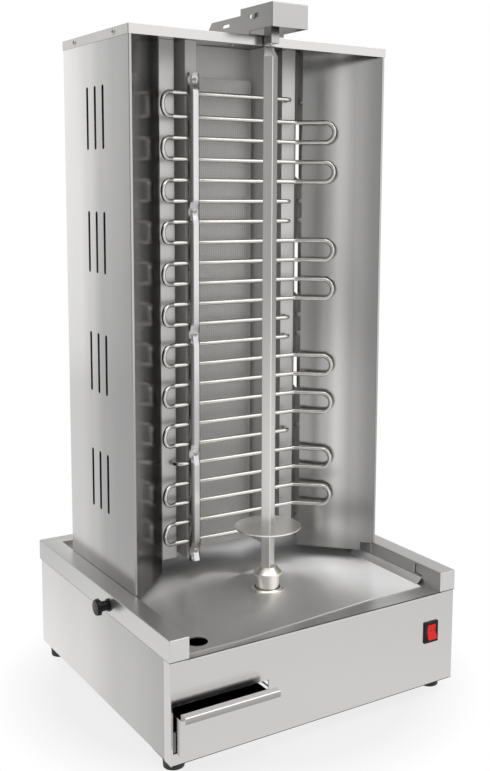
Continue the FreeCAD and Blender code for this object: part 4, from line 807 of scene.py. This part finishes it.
AIR, SWEEP, WALL, LEFT_WALL = 0.32, 0.95, 1.15, 0.60
SWEEP_TOP = (0.14, 0.40)
rise = direction.node("ShaderNodeSeparateXYZ", {}, {"Vector": direction}, output=2)
sweep = glow_towards(14, 8, 32, 52) * SWEEP * rise.spread(*SWEEP_TOP, 1.0, 0.12)
studio = AIR + sweep + glow_towards(152, -2, 20, 46) * WALL
studio = studio + glow_towards(-128, 2, 5, 16) * LEFT_WALL
light_path = tree.nodes.new("ShaderNodeLightPath")
straight = Wire(tree, light_path.outputs["Is Camera Ray"])
strength = straight.node("ShaderNodeMix", {"data_type": "FLOAT"}, {0: straight, 2: studio, 3: 1.0})
tree.links.new(strength.socket, background.inputs["Strength"])


def softbox(name, place, aim, size, power):
    """A square area lamp that faces a point."""
    lamp = bpy.data.lights.new(name, "AREA")
    lamp.shape = "RECTANGLE"
    lamp.size, lamp.size_y = size
    lamp.energy = power
    holder = bpy.data.objects.new(name, lamp)
    bpy.context.scene.collection.objects.link(holder)
    holder.location = place
    holder.rotation_euler = (Vector(aim) - Vector(place)).to_track_quat("-Z", "Y").to_euler()


softbox("top_softbox", (-0.2, -0.3, 2.6), (0, 0, 0.5), (2.4, 2.4), 34)
softbox("right_softbox", (1.5, -1.6, 2.5), (0, 0, 0.5), (1.2, 1.6), 14)

# The camera: where the photographer stood, to the front left of the grill, measured from the
# spit's axis.

CAMERA_FROM_SPIT = (-0.8012, -1.2713)
CAMERA_HEIGHT = 0.7387
CAMERA_YAW = math.radians(33.69)
CAMERA_PITCH = math.radians(7.70)
CAMERA_ROLL = math.radians(0.54)
FRAME_WIDTH, FRAME_HEIGHT = 490, 771
FOCAL_PIXELS = 1062.5
AXIS_COLUMN, AXIS_ROW = 296.0, 332.6
FILM = 36

spit_place = [joint["pos_m"] for joint in frame["record"]["behaviour"]["joints"] if joint["name"] == "spit_turn"][0]
camera_place = (spit_place[0] + CAMERA_FROM_SPIT[0], spit_place[1] + CAMERA_FROM_SPIT[1], CAMERA_HEIGHT)
camera_data = bpy.data.cameras.new("camera")
camera = bpy.data.objects.new("camera", camera_data)
bpy.context.scene.collection.objects.link(camera)
camera_data.sensor_fit = "VERTICAL"
camera_data.sensor_height = FILM
camera_data.lens = FOCAL_PIXELS / FRAME_HEIGHT * FILM
camera_data.shift_x = (FRAME_WIDTH / 2 - AXIS_COLUMN) / FRAME_HEIGHT
camera_data.shift_y = (AXIS_ROW - FRAME_HEIGHT / 2) / FRAME_HEIGHT
camera_data.clip_end = 40
forward = Vector((
    math.sin(CAMERA_YAW) * math.cos(CAMERA_PITCH),
    math.cos(CAMERA_YAW) * math.cos(CAMERA_PITCH),
    -math.sin(CAMERA_PITCH),
))
level = Vector((math.cos(CAMERA_YAW), -math.sin(CAMERA_YAW), 0))
upright = level.cross(forward)
side = level * math.cos(CAMERA_ROLL) + upright * math.sin(CAMERA_ROLL)
top = upright * math.cos(CAMERA_ROLL) - level * math.sin(CAMERA_ROLL)
camera.matrix_world = Matrix.Translation(camera_place) @ Matrix((side, top, -forward)).transposed().to_4x4()
bpy.context.scene.camera = camera
bpy.context.scene.view_settings.view_transform = "Standard"
